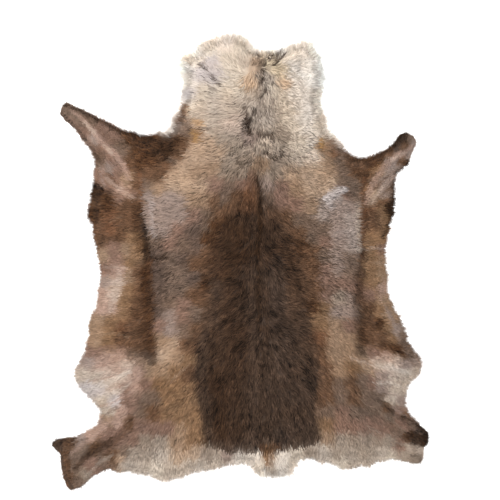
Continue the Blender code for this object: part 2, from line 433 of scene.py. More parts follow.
@dataclass(frozen=True)
class Panel:
    """A field of colour across the hide, which ends with its last row.

    Each row holds y, the left and right edge, how strong the colour is and how soft its edge.
    """

    tint: Tint
    rows: tuple

    def cover(self, places: np.ndarray) -> np.ndarray:
        """How much of each place it covers, from how far the place is inside the rows."""
        y, *columns = np.array(self.rows[::-1]).T
        x, height = places.T / MM
        left, right, strength, soft = (np.interp(height, y, column) for column in columns)
        inside = np.minimum(np.minimum(x - left, right - x), height - y[0])
        return strength * smoothstep(inside / soft, -1.0, 1.0)


def table(kind: type, rows: tuple) -> tuple:
    """One object of a kind for each row of its numbers."""
    return tuple(kind(*row) for row in rows)


PATCHES = tuple(Patch(*spot, tint) for tint, *spots in (
    # neck and ruff
    (T.FAWN, (-42, 600, 27)),
    (T.PALE, (2, 589, 19), (-86, 587, 22), (-149, 562, 19), (-121, 551, 14), (-34, 551, 22), (-25, 513, 22),
     (-39, 475, 22), (-12, 464, 16), (-97, 464, 22), (-132, 431, 19), (117, 442, 16), (98, 464, 14),
     (147, 584, 22), (136, 403, 19), (218, 376, 19), (147, 360, 19), (163, 316, 22)),
    (T.CREAM, (-118, 578, 19), (-143, 496, 22), (174, 573, 25), (158, 535, 19), (152, 491, 19),
     (161, 447, 22), (199, 450, 16), (204, 409, 19), (171, 403, 22), (185, 360, 22), (199, 327, 16)),
    (T.IVORY, (-159, 535, 19), (199, 546, 22), (180, 507, 19), (207, 496, 16)),
    (T.LILAC, (-77, 546, 16), (-72, 507, 19), (-110, 513, 22), (-149, 458, 19)),
    (T.OAT, (10, 546, 14), (-72, 431, 22), (-110, 403, 22), (-50, 409, 22), (-12, 431, 16), (-88, 376, 19),
     (32, 436, 16), (48, 403, 16), (81, 409, 19), (54, 376, 19), (70, 496, 14), (-88, 360, 14), (59, 310, 16),
     (95, 310, 16)),
    (T.PEACH, (18, 480, 14), (120, 485, 14)),
    (T.BLUSH, (-28, 376, 19)),
    (T.BEIGE, (43, 535, 14), (-94, 327, 19), (-116, 376, 11)),
    (T.SAND, (81, 546, 16), (109, 518, 14)),
    (T.STONE, (120, 338, 19), (-50, 332, 22), (-6, 316, 19), (-23, 283, 19)),
    (T.OCHRE, (223, 313, 10), (-121, 343, 11)),
    (T.TAWNY, (-159, 420, 14)),
    (T.BROWN, (-170, 392, 14)),
    (T.DUSK, (-176, 365, 19), (-149, 357, 14)),
    (T.TAUPE, (27, 338, 16)),
    # withers and shoulders
    (T.ASH, (-1, 264, 19), (103, 269, 19), (98, 234, 16), (-42, 245, 19), (-1, 234, 14)),
    (T.TAN, (59, 264, 14), (-77, 256, 19), (-116, 239, 22), (-225, 196, 16), (245, 310, 14), (245, 278, 16),
     (251, 245, 19)),
    (T.BEIGE, (-69, 299, 22), (-105, 283, 22), (-138, 299, 19), (218, 245, 19), (180, 239, 19),
     (141, 239, 19), (-154, 256, 19), (-187, 220, 19), (-149, 206, 22), (-105, 201, 19), (248, 212, 19),
     (213, 209, 19)),
    (T.OAT, (163, 278, 19)),
    (T.FAWN, (202, 283, 19)),
    (T.UMBER, (-296, 335, 14), (-261, 327, 16), (-225, 324, 16), (-272, 302, 16), (-176, 332, 14),
     (-247, 275, 16), (-277, 272, 14), (357, 264, 14)),
    (T.BARK, (-192, 313, 16), (-203, 294, 14), (-236, 299, 16)),
    (T.BROWN, (-159, 321, 14), (-214, 269, 16), (-252, 242, 16), (-217, 237, 16), (-170, 294, 14),
     (264, 299, 14), (303, 272, 14), (333, 269, 16), (316, 248, 16), (344, 228, 14)),
    (T.DUSK, (-184, 278, 14), (-261, 212, 14), (275, 278, 14), (286, 245, 16), (311, 212, 16),
     (278, 212, 14), (316, 179, 16)),
    (T.ROSE, (292, 179, 11)),
    (T.SILVER, (267, 171, 14)),
    # left foreleg
    (T.DUSK, (-485, 425, 11), (-466, 409, 11), (-444, 390, 14), (-419, 379, 16), (-337, 310, 16),
     (-386, 283, 14), (-315, 305, 14)),
    (T.ROSE, (-384, 357, 16), (-351, 341, 16), (-427, 357, 11), (-376, 316, 14), (-354, 283, 14),
     (-326, 258, 14), (-384, 242, 11), (-373, 220, 11), (-343, 228, 14), (-296, 182, 11), (-362, 198, 11)),
    (T.TAUPE, (-406, 335, 14), (-362, 256, 14)),
    (T.TAN, (-307, 223, 14)),
    (T.PINK, (-329, 198, 14)),
    (T.BROWN, (-299, 272, 14), (-285, 212, 11)),
    # right foreleg
    (T.DARK, (445, 338, 11)),
    (T.DUSK, (467, 338, 11), (371, 212, 14), (415, 196, 11)),
    (T.TAUPE, (475, 319, 8), (459, 299, 11), (426, 261, 14), (401, 267, 14), (409, 237, 14), (396, 212, 14),
     (393, 182, 14)),
    (T.BROWN, (448, 313, 11), (404, 297, 11), (450, 269, 11)),
    (T.SOOT, (426, 313, 11)),
    (T.UMBER, (379, 283, 11)),
    (T.PINK, (431, 289, 11)),
    (T.TAWNY, (374, 250, 16), (352, 206, 11), (385, 155, 14)),
    (T.BEIGE, (363, 182, 14), (357, 157, 11)),
    # left flank
    (T.TAUPE, (-250, 179, 15), (-211, 163, 21), (-173, 165, 21), (-247, 135, 18), (-209, 127, 21),
     (-170, 124, 21), (-244, 97, 15), (-209, 86, 21), (-192, -146, 18), (-190, -185, 18)),
    (T.TAN, (-135, 163, 21), (-94, 165, 21), (-214, -215, 15), (-176, -264, 18)),
    (T.ROSE, (-129, 122, 21), (-168, 83, 21), (-195, 48, 21), (-162, -114, 18), (-157, -152, 21),
     (-222, -174, 15)),
    (T.DUSK, (-91, 130, 18), (-97, 92, 15), (-231, 56, 15), (-157, 45, 21), (-195, 12, 18), (-195, -23, 18),
     (-162, -31, 21), (-192, -64, 21), (-157, -72, 21), (-195, -108, 21), (-127, -141, 18), (-154, -190, 21)),
    (T.SLATE, (-127, 83, 21), (-118, 40, 18), (-228, 21, 15), (-159, 7, 21), (-228, -18, 15),
     (-129, -48, 18), (-228, -59, 18), (-231, -100, 18), (-228, -138, 15)),
    (T.BROWN, (-127, -7, 18), (-127, -92, 18), (-124, -190, 18), (-151, -231, 18), (-124, -237, 15)),
    (T.BEIGE, (-184, -226, 18), (-209, -258, 18)),
    (T.TAWNY, (-140, -269, 18)),
    # back
    (T.ROSE, (-72, 204, 19), (5, 209, 16), (117, 196, 19), (111, 157, 16), (150, 152, 19)),
    (T.DUSK, (-34, 204, 16), (-45, 168, 16), (76, 163, 14), (158, 111, 19), (193, 108, 16), (199, 67, 16)),
    (T.TAUPE, (81, 204, 14)),
    (T.TAN, (155, 196, 19), (191, 152, 19)),
    (T.BEIGE, (191, 196, 19)),
    (T.BROWN, (-77, 165, 16), (-12, 171, 16), (-64, 133, 16), (-28, 138, 16), (87, 130, 16), (122, 122, 16),
     (125, 83, 16), (163, 75, 16), (196, 26, 16), (-94, 21, 16), (169, -10, 16), (-91, -21, 16),
     (180, -53, 16), (150, -97, 19), (-94, -105, 16), (-66, -138, 22), (158, -141, 19)),
    (T.UMBER, (21, 174, 11), (10, 138, 16), (-75, 97, 16), (-39, 97, 16), (-91, 62, 16), (-58, 56, 19),
     (120, 42, 19), (161, 34, 16), (-58, 12, 19), (130, -1, 19), (-53, -29, 22), (144, -51, 19),
     (-94, -62, 16), (-42, -324, 27)),
    (T.SILVER, (223, 124, 16)),
    (T.BARK, (-1, 97, 22), (84, 89, 19), (-17, 53, 22), (29, 53, 22), (76, 45, 19), (-12, 12, 22),
     (35, 7, 22), (84, 1, 22)),
    (T.DARK, (43, 97, 16)),
    (T.CHOCOLATE, (-4, -34, 22), (48, -42, 22), (100, -45, 22), (-6, -81, 25), (48, -89, 25), (103, -92, 25),
     (54, -187, 36), (59, -338, 44), (-1, -428, 30), (130, -428, 30), (163, -324, 27)),
    (T.SOOT, (-56, -72, 22)),
    # right flank
    (T.SILVER, (234, 157, 15), (300, 119, 21), (305, 81, 21), (305, 42, 21)),
    (T.TAUPE, (300, 152, 18), (264, 133, 21), (267, 92, 21), (270, 53, 21), (267, 15, 21), (270, -23, 21),
     (297, -103, 15), (264, -135, 21), (295, -138, 15)),
    (T.DUSK, (232, 89, 18), (232, 15, 18), (303, 7, 18), (305, -29, 18), (273, -335, 18), (333, -327, 15),
     (275, -373, 18), (344, -368, 18)),
    (T.ROSE, (234, 53, 18), (234, -21, 18), (234, -56, 18), (270, -62, 21), (303, -67, 18), (234, -92, 18),
     (295, -176, 15), (357, -332, 12)),
    (T.BROWN, (199, -10, 15), (199, -48, 18), (199, -86, 18), (223, -250, 18), (237, -291, 18),
     (240, -330, 18), (305, -335, 18), (240, -371, 18), (311, -373, 18)),
    (T.STONE, (270, -97, 21)),
    (T.UMBER, (196, -124, 15)),
    (T.OCHRE, (229, -130, 18), (226, -168, 18), (305, -289, 18)),
    (T.TAN, (262, -174, 21), (256, -215, 21), (289, -217, 18), (259, -256, 21), (295, -253, 18),
     (325, -261, 15), (273, -294, 21)),
    (T.RUST, (221, -209, 18)),
    # thighs and rump
    (T.TAN, (-247, -299, 14), (-214, -297, 16), (-162, -464, 16), (-176, -496, 16), (240, -483, 16)),
    (T.OCHRE, (-176, -302, 16), (-220, -338, 16), (-181, -341, 16), (-159, -384, 16), (-162, -423, 16)),
    (T.BROWN, (-140, -308, 16), (-239, -414, 16)),
    (T.ROSE, (-255, -335, 14), (-280, -450, 14), (-244, -455, 16), (-203, -458, 16), (-296, -488, 14),
     (281, -412, 16), (281, -450, 19), (319, -453, 19), (360, -447, 19), (398, -461, 16), (440, -502, 14)),
    (T.TAWNY, (-143, -346, 16), (-198, -379, 16), (-129, -387, 14), (-200, -417, 16), (-124, -428, 16),
     (-121, -466, 16), (-138, -491, 14), (243, -447, 16)),
    (T.DUSK, (-272, -373, 14), (-236, -376, 16), (-274, -412, 14), (-326, -516, 14), (245, -409, 16),
     (316, -412, 16), (355, -406, 16), (431, -472, 14)),
    (T.ASH, (-258, -496, 16), (-88, -529, 16), (322, -491, 19), (363, -491, 19)),
    (T.STONE, (-217, -496, 16), (-291, -526, 16), (-252, -535, 16), (-64, -529, 14), (281, -491, 19),
     (404, -494, 16), (267, -524, 16), (311, -524, 19), (355, -526, 19), (193, -529, 14)),
    (T.OAT, (-211, -537, 16), (-315, -557, 11), (-274, -562, 14), (-192, -573, 16), (-149, -568, 16),
     (-107, -559, 16), (-66, -548, 16), (226, -513, 14), (398, -526, 16), (234, -540, 14), (316, -551, 16),
     (360, -543, 14)),
    (T.BEIGE, (-170, -535, 16), (-129, -529, 16), (-334, -540, 11)),
    (T.PALE, (-233, -570, 16), (278, -554, 16), (409, -540, 11), (158, -526, 14)),
    (T.TAUPE, (-39, -532, 14)),
    (T.CREAM, (-9, -535, 14)),
    # left belly
    (T.DARK, (-384, 187, 14)),
    (T.BROWN, (-389, 160, 14), (-392, 97, 14), (-326, 141, 18), (-293, 149, 18), (-324, 108, 18),
     (-291, 108, 18), (-329, 70, 18), (-378, 56, 18), (-283, -37, 14), (-283, -83, 14), (-288, -124, 14),
     (-291, -157, 18), (-291, -193, 18), (-329, -215, 18), (-293, -226, 18)),
    (T.UMBER, (-397, 130, 14), (-359, 155, 18), (-269, -149, 18), (-266, -193, 18)),
    (T.ROSE, (-334, 168, 14), (-348, 42, 18), (-343, 10, 18), (-367, -21, 14)),
    (T.RUST, (-359, 122, 18), (-365, 86, 18), (-324, -182, 18)),
    (T.TAWNY, (-293, 64, 18), (-285, 26, 14), (-307, -7, 14), (-304, -78, 14), (-315, -111, 18),
     (-321, -146, 18), (-354, -165, 18), (-362, -198, 18)),
    (T.TAN, (-313, 31, 18), (-376, 18, 18), (-304, -42, 14), (-384, -163, 14), (-392, -196, 18),
     (-397, -226, 14)),
    (T.PINK, (-337, -26, 18), (-376, -94, 14), (-378, -130, 14), (-351, -130, 18)),
    (T.TAUPE, (-370, -56, 14)),
    (T.BLUSH, (-340, -62, 18), (-348, -97, 18)),
    (T.OCHRE, (-365, -228, 18)),
    # left lobe
    (T.ROSE, (-400, -250, 16), (-315, -349, 16), (-313, -382, 16), (-299, -403, 13)),
    (T.PINK, (-365, -256, 16), (-329, -258, 16), (-384, -283, 20), (-348, -283, 20), (-288, -308, 16),
     (-285, -346, 16), (-329, -412, 13)),
    (T.DUSK, (-296, -253, 16)),
    (T.TAUPE, (-417, -280, 16)),
    (T.BLUSH, (-310, -286, 16), (-359, -313, 20), (-324, -316, 20), (-351, -349, 20)),
    (T.OAT, (-427, -313, 16), (-397, -316, 20), (-378, -384, 16), (-356, -409, 13)),
    (T.LILAC, (-422, -346, 16), (-389, -351, 20), (-345, -382, 20)),
    # right belly
    (T.BROWN, (366, 133, 17), (366, 100, 17), (357, -127, 14), (357, -165, 14), (357, -204, 17),
     (388, -206, 17), (396, -234, 14)),
    (T.TAWNY, (390, 122, 17), (396, 92, 14), (366, 67, 17), (390, 62, 14), (366, 37, 14), (366, 7, 17),
     (366, -23, 17), (366, -59, 17), (382, -135, 17), (407, -176, 17), (418, -215, 17)),
    (T.DARK, (412, 144, 14)),
    (T.ROSE, (388, 34, 14), (363, -94, 17)),
    (T.TAN, (388, -1, 14), (388, -40, 14), (388, -105, 14), (404, -144, 14)),
    (T.PINK, (388, -75, 14)),
    (T.UMBER, (382, -168, 14), (431, -242, 17)),
    (T.TAUPE, (426, -185, 14), (470, -278, 10)),
    (T.DUSK, (442, -220, 14), (456, -253, 14)),
    # right lobe
    (T.ROSE, (371, -250, 13)),
    (T.PINK, (398, -256, 16)),
    (T.BLUSH, (426, -269, 16), (382, -280, 16), (415, -294, 16)),
    (T.TAUPE, (448, -286, 13), (388, -313, 13), (390, -341, 16), (442, -384, 13)),
    (T.OAT, (464, -305, 13), (423, -321, 16), (453, -327, 13), (423, -349, 16), (448, -354, 13),
     (415, -379, 16)),
    (T.TAN, (357, -297, 13)),
    (T.DUSK, (382, -368, 13)),
    # hind legs and tail
    (T.PINK, (-334, -439, 11), (-389, -455, 14), (-411, -483, 11)),
    (T.TAN, (-362, -433, 11), (73, -535, 8)),
    (T.ROSE, (-362, -475, 14), (-326, -472, 14), (-365, -507, 14), (-332, -496, 14), (-408, -559, 14),
     (434, -409, 11), (442, -447, 14)),
    (T.BROWN, (-302, -444, 11), (-471, -499, 11), (-397, -513, 14), (-482, -529, 11), (-477, -559, 11),
     (-469, -595, 11), (-351, -532, 14), (404, -401, 11), (453, -425, 8)),
    (T.TAUPE, (-438, -491, 11)),
    (T.SOOT, (-501, -505, 11), (491, -469, 11), (481, -496, 11)),
    (T.DUSK, (-433, -518, 11), (-458, -535, 11), (-455, -565, 11), (-447, -603, 11), (-378, -548, 14),
     (377, -390, 11), (409, -428, 14), (470, -453, 11)),
    (T.ASH, (-425, -584, 11), (478, -540, 8)),
    (T.DARK, (505, -488, 11)),
    (T.UMBER, (464, -477, 11)),
    (T.OAT, (461, -510, 11), (494, -516, 8), (87, -578, 11)),
    (T.STONE, (448, -529, 11)),
    (T.CREAM, (27, -548, 14), (120, -543, 16), (114, -568, 16), (48, -532, 11)),
    (T.PALE, (18, -570, 16), (46, -581, 14), (152, -540, 16), (98, -532, 11)),
) for spot in spots)

SADDLE = Panel(Tint.CHOCOLATE, (
    (245, 43, 59, 0.3, 8), (196, 21, 76, 0.4, 16), (155, -1, 98, 0.5, 24), (100, -45, 136, 0.5, 28),
    (45, -77, 158, 0.5, 28), (-10, -86, 174, 0.55, 26), (-105, -94, 185, 0.65, 24), (-160, -99, 193, 0.8, 20),
    (-215, -116, 204, 0.88, 15), (-269, -127, 218, 0.92, 13), (-338, -132, 221, 0.93, 13),
    (-392, -121, 204, 0.93, 14), (-447, -105, 210, 0.93, 13), (-477, -105, 221, 0.93, 11),
    (-491, -102, 226, 0.93, 10), (-502, -94, 210, 0.93, 10), (-513, -72, 136, 0.93, 10),
    (-526, -23, 103, 0.9, 10),
))

STREAKS = tuple(Streak(tint, strength, points) for tint, strength, *points in (
    # the spine
    (T.RUST, 0.55, (32, 242, 12), (29, 201, 17.5), (24, 157, 24.6)),
    (T.DARK, 0.85, (40, 239, 2.7), (48, 212, 4.4), (54, 182, 6.3), (54, 141, 6.6), (54, 92, 6.6)),
    (T.DARK, 0.7, (54, 100, 6), (48, 31, 7.1), (51, -187, 8.8)),
    (T.DARK, 0.2, (51, -187, 10.9), (65, -488, 10.9)),
    (T.DARK, 0.6, (-39, 15, 6.8), (5, 15, 8.2), (48, 21, 8.2)), (T.BARK, 0.6, (-1, 160, 6.6), (32, 152, 8.2)),
    (T.BARK, 0.7, (-75, -302, 19.1), (-61, -379, 21.9), (-56, -477, 19.1)),
    (T.DARK, 0.25, (-1, 75, 27.3), (-12, 26, 32.8)),
    (T.BARK, 0.6, (-23, 75, 32.8), (-17, 31, 35.6), (-17, -187, 38.3), (-28, -447, 46.5)),
    (T.SOOT, 0.5, (103, -1, 19.1), (111, -187, 24.6), (117, -302, 21.9)),
    (T.BARK, 0.5, (-75, -198, 13.7), (-72, -242, 16.4), (-75, -286, 13.7)),
    (T.BARK, 0.35, (68, -78, 10.9), (70, -228, 10.9)),
    # dark tufts down the middle of the neck
    (T.SOOT, 0.9, (68, 546, 3.8), (59, 485, 4.6)), (T.SOOT, 0.6, (59, 551, 2.7), (57, 524, 3.3)),
    (T.SOOT, 0.9, (125, 576, 3.8), (95, 535, 5.5)), (T.SOOT, 0.8, (111, 584, 3.6), (98, 557, 4.9)),
    (T.SOOT, 0.75, (76, 584, 3.3), (87, 551, 4.4)), (T.SOOT, 0.75, (103, 584, 3.3), (81, 551, 3.8)),
    (T.SOOT, 0.7, (46, 578, 4.1), (54, 551, 4.1)), (T.SOOT, 0.5, (35, 568, 2.7), (40, 535, 3.8)),
    (T.SOOT, 0.7, (70, 464, 3.8), (54, 444, 2.7)), (T.SOOT, 0.7, (68, 466, 3.8), (87, 444, 2.7)),
    (T.SOOT, 0.8, (5, 414, 3.8), (21, 398, 4.4)), (T.SOOT, 0.85, (43, 409, 3.3), (24, 384, 4.4)),
    (T.SOOT, 0.95, (18, 392, 6.6), (21, 349, 8.2)), (T.SOOT, 0.7, (7, 382, 4.4), (18, 360, 5.5)),
    (T.SOOT, 0.8, (54, 346, 8.2), (87, 343, 8.2)), (T.SOOT, 0.5, (81, 338, 4.4), (98, 351, 3.3)),
    (T.SOOT, 0.8, (65, 289, 3.3), (78, 294, 2.7)), (T.SOOT, 0.85, (81, 283, 3.6), (106, 278, 3.6)),
    (T.SOOT, 0.8, (114, 302, 3.3), (109, 280, 3.3)),
    (T.SOOT, 0.65, (-4, 256, 2.7), (10, 267, 3.6), (27, 272, 3.3)),
    (T.SOOT, 0.5, (13, 327, 2.7), (-1, 305, 2.7)), (T.SOOT, 0.5, (76, 387, 2.7), (87, 431, 2.7)),
    (T.SOOT, 0.4, (59, 442, 2.7), (70, 392, 2.7)),
    (T.SOOT, 0.55, (87, 250, 3.3), (98, 223, 3.8), (92, 204, 3.3)),
    (T.SOOT, 0.6, (59, 299, 2.7), (76, 294, 2.7)),
    # grey strokes at the sides of the ruff
    (T.SOOT, 0.75, (-118, 540, 3), (-91, 521, 3.8)), (T.SOOT, 0.75, (-80, 510, 2.7), (-58, 480, 4.4)),
    (T.SOOT, 0.5, (-99, 485, 3), (-72, 469, 3.3)), (T.ASH, 0.5, (-110, 562, 2.2), (-94, 535, 2.2)),
    (T.ASH, 0.7, (-154, 565, 1.9), (-132, 535, 1.9)), (T.ASH, 0.6, (-159, 540, 1.9), (-143, 513, 1.9)),
    (T.ASH, 0.6, (-110, 477, 2.5), (-121, 458, 2.5)), (T.ASH, 0.5, (-138, 444, 2.5), (-94, 431, 2.5)),
    (T.ASH, 0.5, (-97, 360, 2.7), (-50, 365, 2.7)), (T.ASH, 0.5, (-121, 409, 2.5), (-66, 398, 2.5)),
    (T.ASH, 0.4, (-138, 384, 2.5), (-110, 392, 2.5)), (T.SOOT, 0.6, (155, 291, 2.5), (171, 283, 2.7)),
    (T.SOOT, 0.6, (139, 256, 2.5), (155, 242, 2.7)), (T.SOOT, 0.4, (125, 316, 2.7), (141, 299, 2.7)),
    (T.ASH, 0.3, (185, 439, 2.7), (218, 433, 2.7)), (T.ASH, 0.4, (141, 365, 2.5), (196, 376, 2.5)),
    (T.ASH, 0.4, (152, 338, 2.5), (213, 343, 2.5)), (T.ASH, 0.15, (221, 496, 2.2), (221, 431, 2.7)),
    # gold at the neck's base
    (T.GOLD, 0.4, (-129, 384, 6.6), (-116, 379, 7.1), (-102, 368, 5.5)),
    (T.GOLD, 0.55, (-129, 357, 6.6), (-124, 332, 8.2)),
    (T.OCHRE, 0.6, (223, 335, 6.6), (218, 316, 9.3), (226, 297, 8.2)),
    (T.GOLD, 0.6, (226, 332, 4.4), (221, 313, 4.9)),
    (T.RUST, 0.6, (-151, 433, 5.5), (-162, 409, 6.6), (-173, 387, 6.6)),
    (T.SOOT, 0.5, (-116, 357, 2.7), (-83, 365, 2.7)), (T.SOOT, 0.7, (-143, 360, 3.8), (-138, 351, 3.3)),
    (T.RUST, 0.25, (245, 343, 5.5), (251, 310, 8.2), (262, 289, 8.2)),
    # the shoulders' dark wedges
    (T.DARK, 0.35, (-225, 321, 10.9), (-198, 305, 13.7), (-176, 299, 10.9)),
    (T.BARK, 0.5, (-274, 332, 8.2), (-225, 332, 10.9), (-181, 330, 10.9)),
    (T.SOOT, 0.4, (251, 269, 2.7), (278, 272, 3.3)),
    (T.SOOT, 0.3, (289, 264, 10.9), (316, 269, 13.7), (349, 269, 10.9)),
    (T.UMBER, 0.5, (316, 245, 10.9), (338, 234, 10.9)),
    (T.SOOT, 0.55, (281, 198, 3.8), (300, 187, 5.5), (316, 179, 4.4)),
    # the valleys beside the flanks, soft on the belly's side: painted shadow where the flanks' fur overhangs
    # the belly's
    (T.RUST, 0.8, (-280, 245, 6.6), (-274, 174, 4.9), (-274, 141, 5.5)),
    (T.DARK, 0.8, (-276, 155, 4.4), (-269, 108, 6.6), (-261, 59, 9.8), (-258, 26, 12)),
    (T.UMBER, 0.6, (-291, 152, 10.9), (-283, 81, 12.6), (-274, 31, 12.6)),
    (T.DARK, 0.65, (-258, 31, 12), (-258, -18, 10.9), (-261, -51, 9.8)),
    (T.UMBER, 0.85, (-263, -29, 10.9), (-266, -105, 13.7)),
    (T.BROWN, 0.55, (-272, -105, 16.4), (-266, -174, 19.1), (-258, -248, 19.1)),
    (T.UMBER, 0.8, (-255, -1, 12), (-252, -105, 13.7), (-250, -187, 12.6), (-244, -248, 14.2)),
    (T.SOOT, 0.7, (-261, -258, 10.9), (-244, -275, 12)),
    (T.DARK, 0.7, (-247, 10, 3.3), (-231, 4, 4.1), (-211, 15, 3.6), (-187, -1, 2.7)),
    (T.DARK, 0.4, (-239, -10, 2.7), (-220, -1, 3.3)),
    (T.LILAC, 0.35, (-247, 168, 5.5), (-242, 108, 5.5), (-239, 64, 5.5)),
    (T.BROWN, 0.3, (-247, -37, 2.7), (-250, -78, 2.7)), (T.UMBER, 0.5, (-236, -248, 3.3), (-236, -280, 3.8)),
    (T.RUST, 0.75, (340, 228, 5.5), (340, 182, 6.6), (341, 127, 6.6)),
    (T.RUST, 0.65, (341, 135, 6), (338, 72, 7.1), (338, 15, 8.2)),
    (T.UMBER, 0.45, (341, 124, 3.3), (338, 15, 5.5)),
    (T.UMBER, 0.6, (336, 15, 9.8), (330, -51, 12), (325, -105, 14.8)),
    (T.BARK, 0.45, (325, -105, 15.3), (327, -187, 16.4), (330, -248, 15.3)),
    (T.SOOT, 0.6, (330, -242, 8.2), (344, -258, 5.5)), (T.OAT, 0.7, (325, 155, 5.5), (329, 31, 4.9)),
    # left foreleg: pale strokes down the middle, partly paler hair and partly a painted highlight, nearly
    # black at the edges
    (T.SOOT, 0.85, (-493, 406, 3.8), (-466, 384, 3.8), (-438, 351, 3.8), (-417, 324, 4.9),
      (-403, 305, 5.5), (-389, 278, 3.8)), (T.SOOT, 0.3, (-499, 409, 5.5), (-477, 431, 4.4)),
    (T.BROWN, 0.3, (-452, 409, 3.8), (-397, 371, 6), (-356, 335, 7.1), (-302, 305, 8.2)),
    (T.ROSE, 0.6, (-471, 398, 3.8), (-444, 368, 4.9), (-417, 335, 5.5), (-400, 305, 5.5)),
    (T.PINK, 0.75, (-471, 421, 3.3), (-438, 395, 4.9), (-411, 366, 7.1), (-384, 330, 7.7),
      (-356, 305, 9.3), (-324, 269, 8.2), (-307, 228, 6.6)),
    (T.BLUSH, 0.6, (-427, 382, 4.4), (-403, 354, 5.5)), (T.BLUSH, 0.6, (-376, 321, 3.8), (-354, 297, 4.9)),
    (T.BROWN, 0.35, (-389, 299, 8.2), (-376, 267, 8.2)),
    (T.UMBER, 0.3, (-477, 424, 4.4), (-438, 406, 6), (-384, 382, 7.1), (-329, 351, 8.2), (-285, 338, 9.3)),
    (T.DARK, 0.9, (-488, 432, 3.6), (-438, 413, 3.8), (-384, 388, 4.4), (-329, 358, 5.5),
      (-296, 354, 6), (-247, 338, 6.6)), (T.BROWN, 0.7, (-370, 245, 2.5), (-351, 228, 3), (-334, 212, 3)),
    (T.BLUSH, 0.35, (-367, 228, 5.5), (-329, 196, 6.6), (-299, 176, 4.9)),
    (T.TAUPE, 0.5, (-389, 261, 3.3), (-376, 206, 3.8)),
    (T.BROWN, 0.7, (-307, 302, 5.5), (-291, 245, 6.6), (-277, 179, 5.5)),
    (T.DARK, 0.7, (-392, 204, 5.5), (-376, 196, 6.6), (-359, 190, 5.5)),
    (T.BARK, 0.7, (-392, 196, 8.2), (-397, 155, 7.1), (-400, 108, 6.6)),
    (T.UMBER, 0.6, (-378, 193, 8.2), (-376, 160, 7.1)),
    # right foreleg
    (T.PINK, 0.65, (470, 316, 4.4), (448, 297, 6), (423, 283, 7.1), (398, 264, 8.2), (374, 228, 8.2),
      (357, 196, 8.2), (347, 163, 7.1)), (T.BLUSH, 0.5, (448, 297, 3.8), (415, 278, 4.9)),
    (T.DARK, 0.85, (456, 351, 7.1), (434, 330, 7.7), (412, 308, 6)),
    (T.BARK, 0.85, (418, 310, 6), (382, 294, 5.5), (349, 282, 5.5), (305, 282, 4.4)),
    (T.SOOT, 0.8, (461, 283, 3.6), (459, 264, 4.1), (434, 250, 3.8), (426, 239, 3.3)),
    (T.UMBER, 0.55, (437, 272, 6.6), (453, 269, 6.6)),
    (T.BROWN, 0.6, (423, 248, 2.7), (393, 223, 3), (366, 196, 3.3)),
    (T.BROWN, 0.45, (412, 201, 2.7), (382, 176, 3.3), (355, 146, 3.8)),
    (T.BLUSH, 0.4, (393, 206, 4.4), (360, 163, 6)),
    (T.DARK, 0.75, (426, 228, 3.3), (420, 204, 4.4), (423, 176, 5.5)),
    (T.DARK, 0.8, (423, 176, 4.4), (415, 130, 4.9), (407, 97, 4.4), (393, 64, 3.3)),
    (T.RUST, 0.6, (344, 138, 6.6), (371, 152, 6.6), (404, 168, 6.6)),
    # the belly strips
    (T.BLUSH, 0.45, (-334, -29, 5.5), (-337, -67, 8.8), (-359, -133, 8.2)),
    (T.TAWNY, 0.5, (-310, -1, 2.7), (-315, -64, 3), (-345, -155, 3.3)),
    (T.SOOT, 0.35, (-373, -1, 2.7), (-365, -34, 2.7)),
    (T.BROWN, 0.4, (-384, -176, 2.7), (-345, -174, 3.3), (-307, -182, 2.7)),
    (T.TAN, 0.4, (-389, -198, 2.7), (-351, -196, 3), (-307, -206, 2.7)),
    (T.BROWN, 0.45, (-386, -217, 2.7), (-351, -215, 3.3), (-313, -223, 2.7)),
    (T.ROSE, 0.5, (-389, -237, 3.3), (-351, -231, 3.8), (-307, -239, 3.3)),
    (T.BLUSH, 0.3, (-373, -18, 2.5), (-334, -15, 2.7), (-296, -23, 2.5)),
    (T.TAN, 0.4, (-367, -45, 2.5), (-329, -40, 2.7)), (T.TAN, 0.35, (-362, -72, 2.5), (-324, -67, 2.5)),
    (T.PINK, 0.25, (-351, 168, 3.3), (-324, 174, 4.4)), (T.TAN, 0.2, (-362, 108, 2.7), (-329, 124, 3.3)),
    (T.BLUSH, 0.4, (344, 34, 2.5), (371, 36, 2.7), (393, 34, 2.5)),
    (T.BARK, 0.25, (390, -155, 3.8), (377, -168, 5.5), (366, -182, 3.8)),
    (T.TAWNY, 0.5, (371, -78, 4.4), (382, -138, 5.5)), (T.PINK, 0.4, (393, -45, 3.8), (388, -105, 4.4)),
    (T.TAUPE, 0.6, (398, -122, 3.8), (418, -160, 5.5), (437, -209, 4.9)),
    (T.UMBER, 0.65, (393, -228, 5.5), (426, -239, 7.1), (453, -258, 6.6)),
    (T.DUSK, 0.6, (442, -204, 3.8), (461, -242, 5.5), (478, -286, 5.5)),
    (T.TAWNY, 0.3, (371, 108, 2.7), (398, 103, 2.7)), (T.TAWNY, 0.5, (363, 81, 5.5), (371, 48, 5.5)),
    # the pale lobes behind the belly
    (T.ROSE, 0.45, (-417, -248, 2.7), (-367, -239, 3.6), (-307, -253, 3.3)),
    (T.BLUSH, 0.3, (-438, -324, 5.5), (-384, -299, 7.1), (-318, -275, 6.6)),
    (T.ROSE, 0.4, (-411, -302, 2.5), (-367, -280, 2.7), (-324, -258, 2.5)),
    (T.CREAM, 0.4, (-427, -357, 4.4), (-373, -338, 7.1), (-307, -302, 7.1)),
    (T.PINK, 0.45, (-417, -332, 2.5), (-356, -316, 2.7), (-307, -291, 2.7)),
    (T.CREAM, 0.35, (-395, -379, 4.9), (-351, -365, 6.6), (-307, -338, 5.5)),
    (T.PINK, 0.5, (-389, -401, 2.7), (-351, -387, 3), (-307, -362, 2.7)),
    (T.DUSK, 0.55, (-373, -425, 2.7), (-351, -406, 3.3), (-334, -401, 2.7)),
    (T.ROSE, 0.4, (-269, -286, 5.5), (-266, -330, 6.6), (-283, -384, 6.6)),
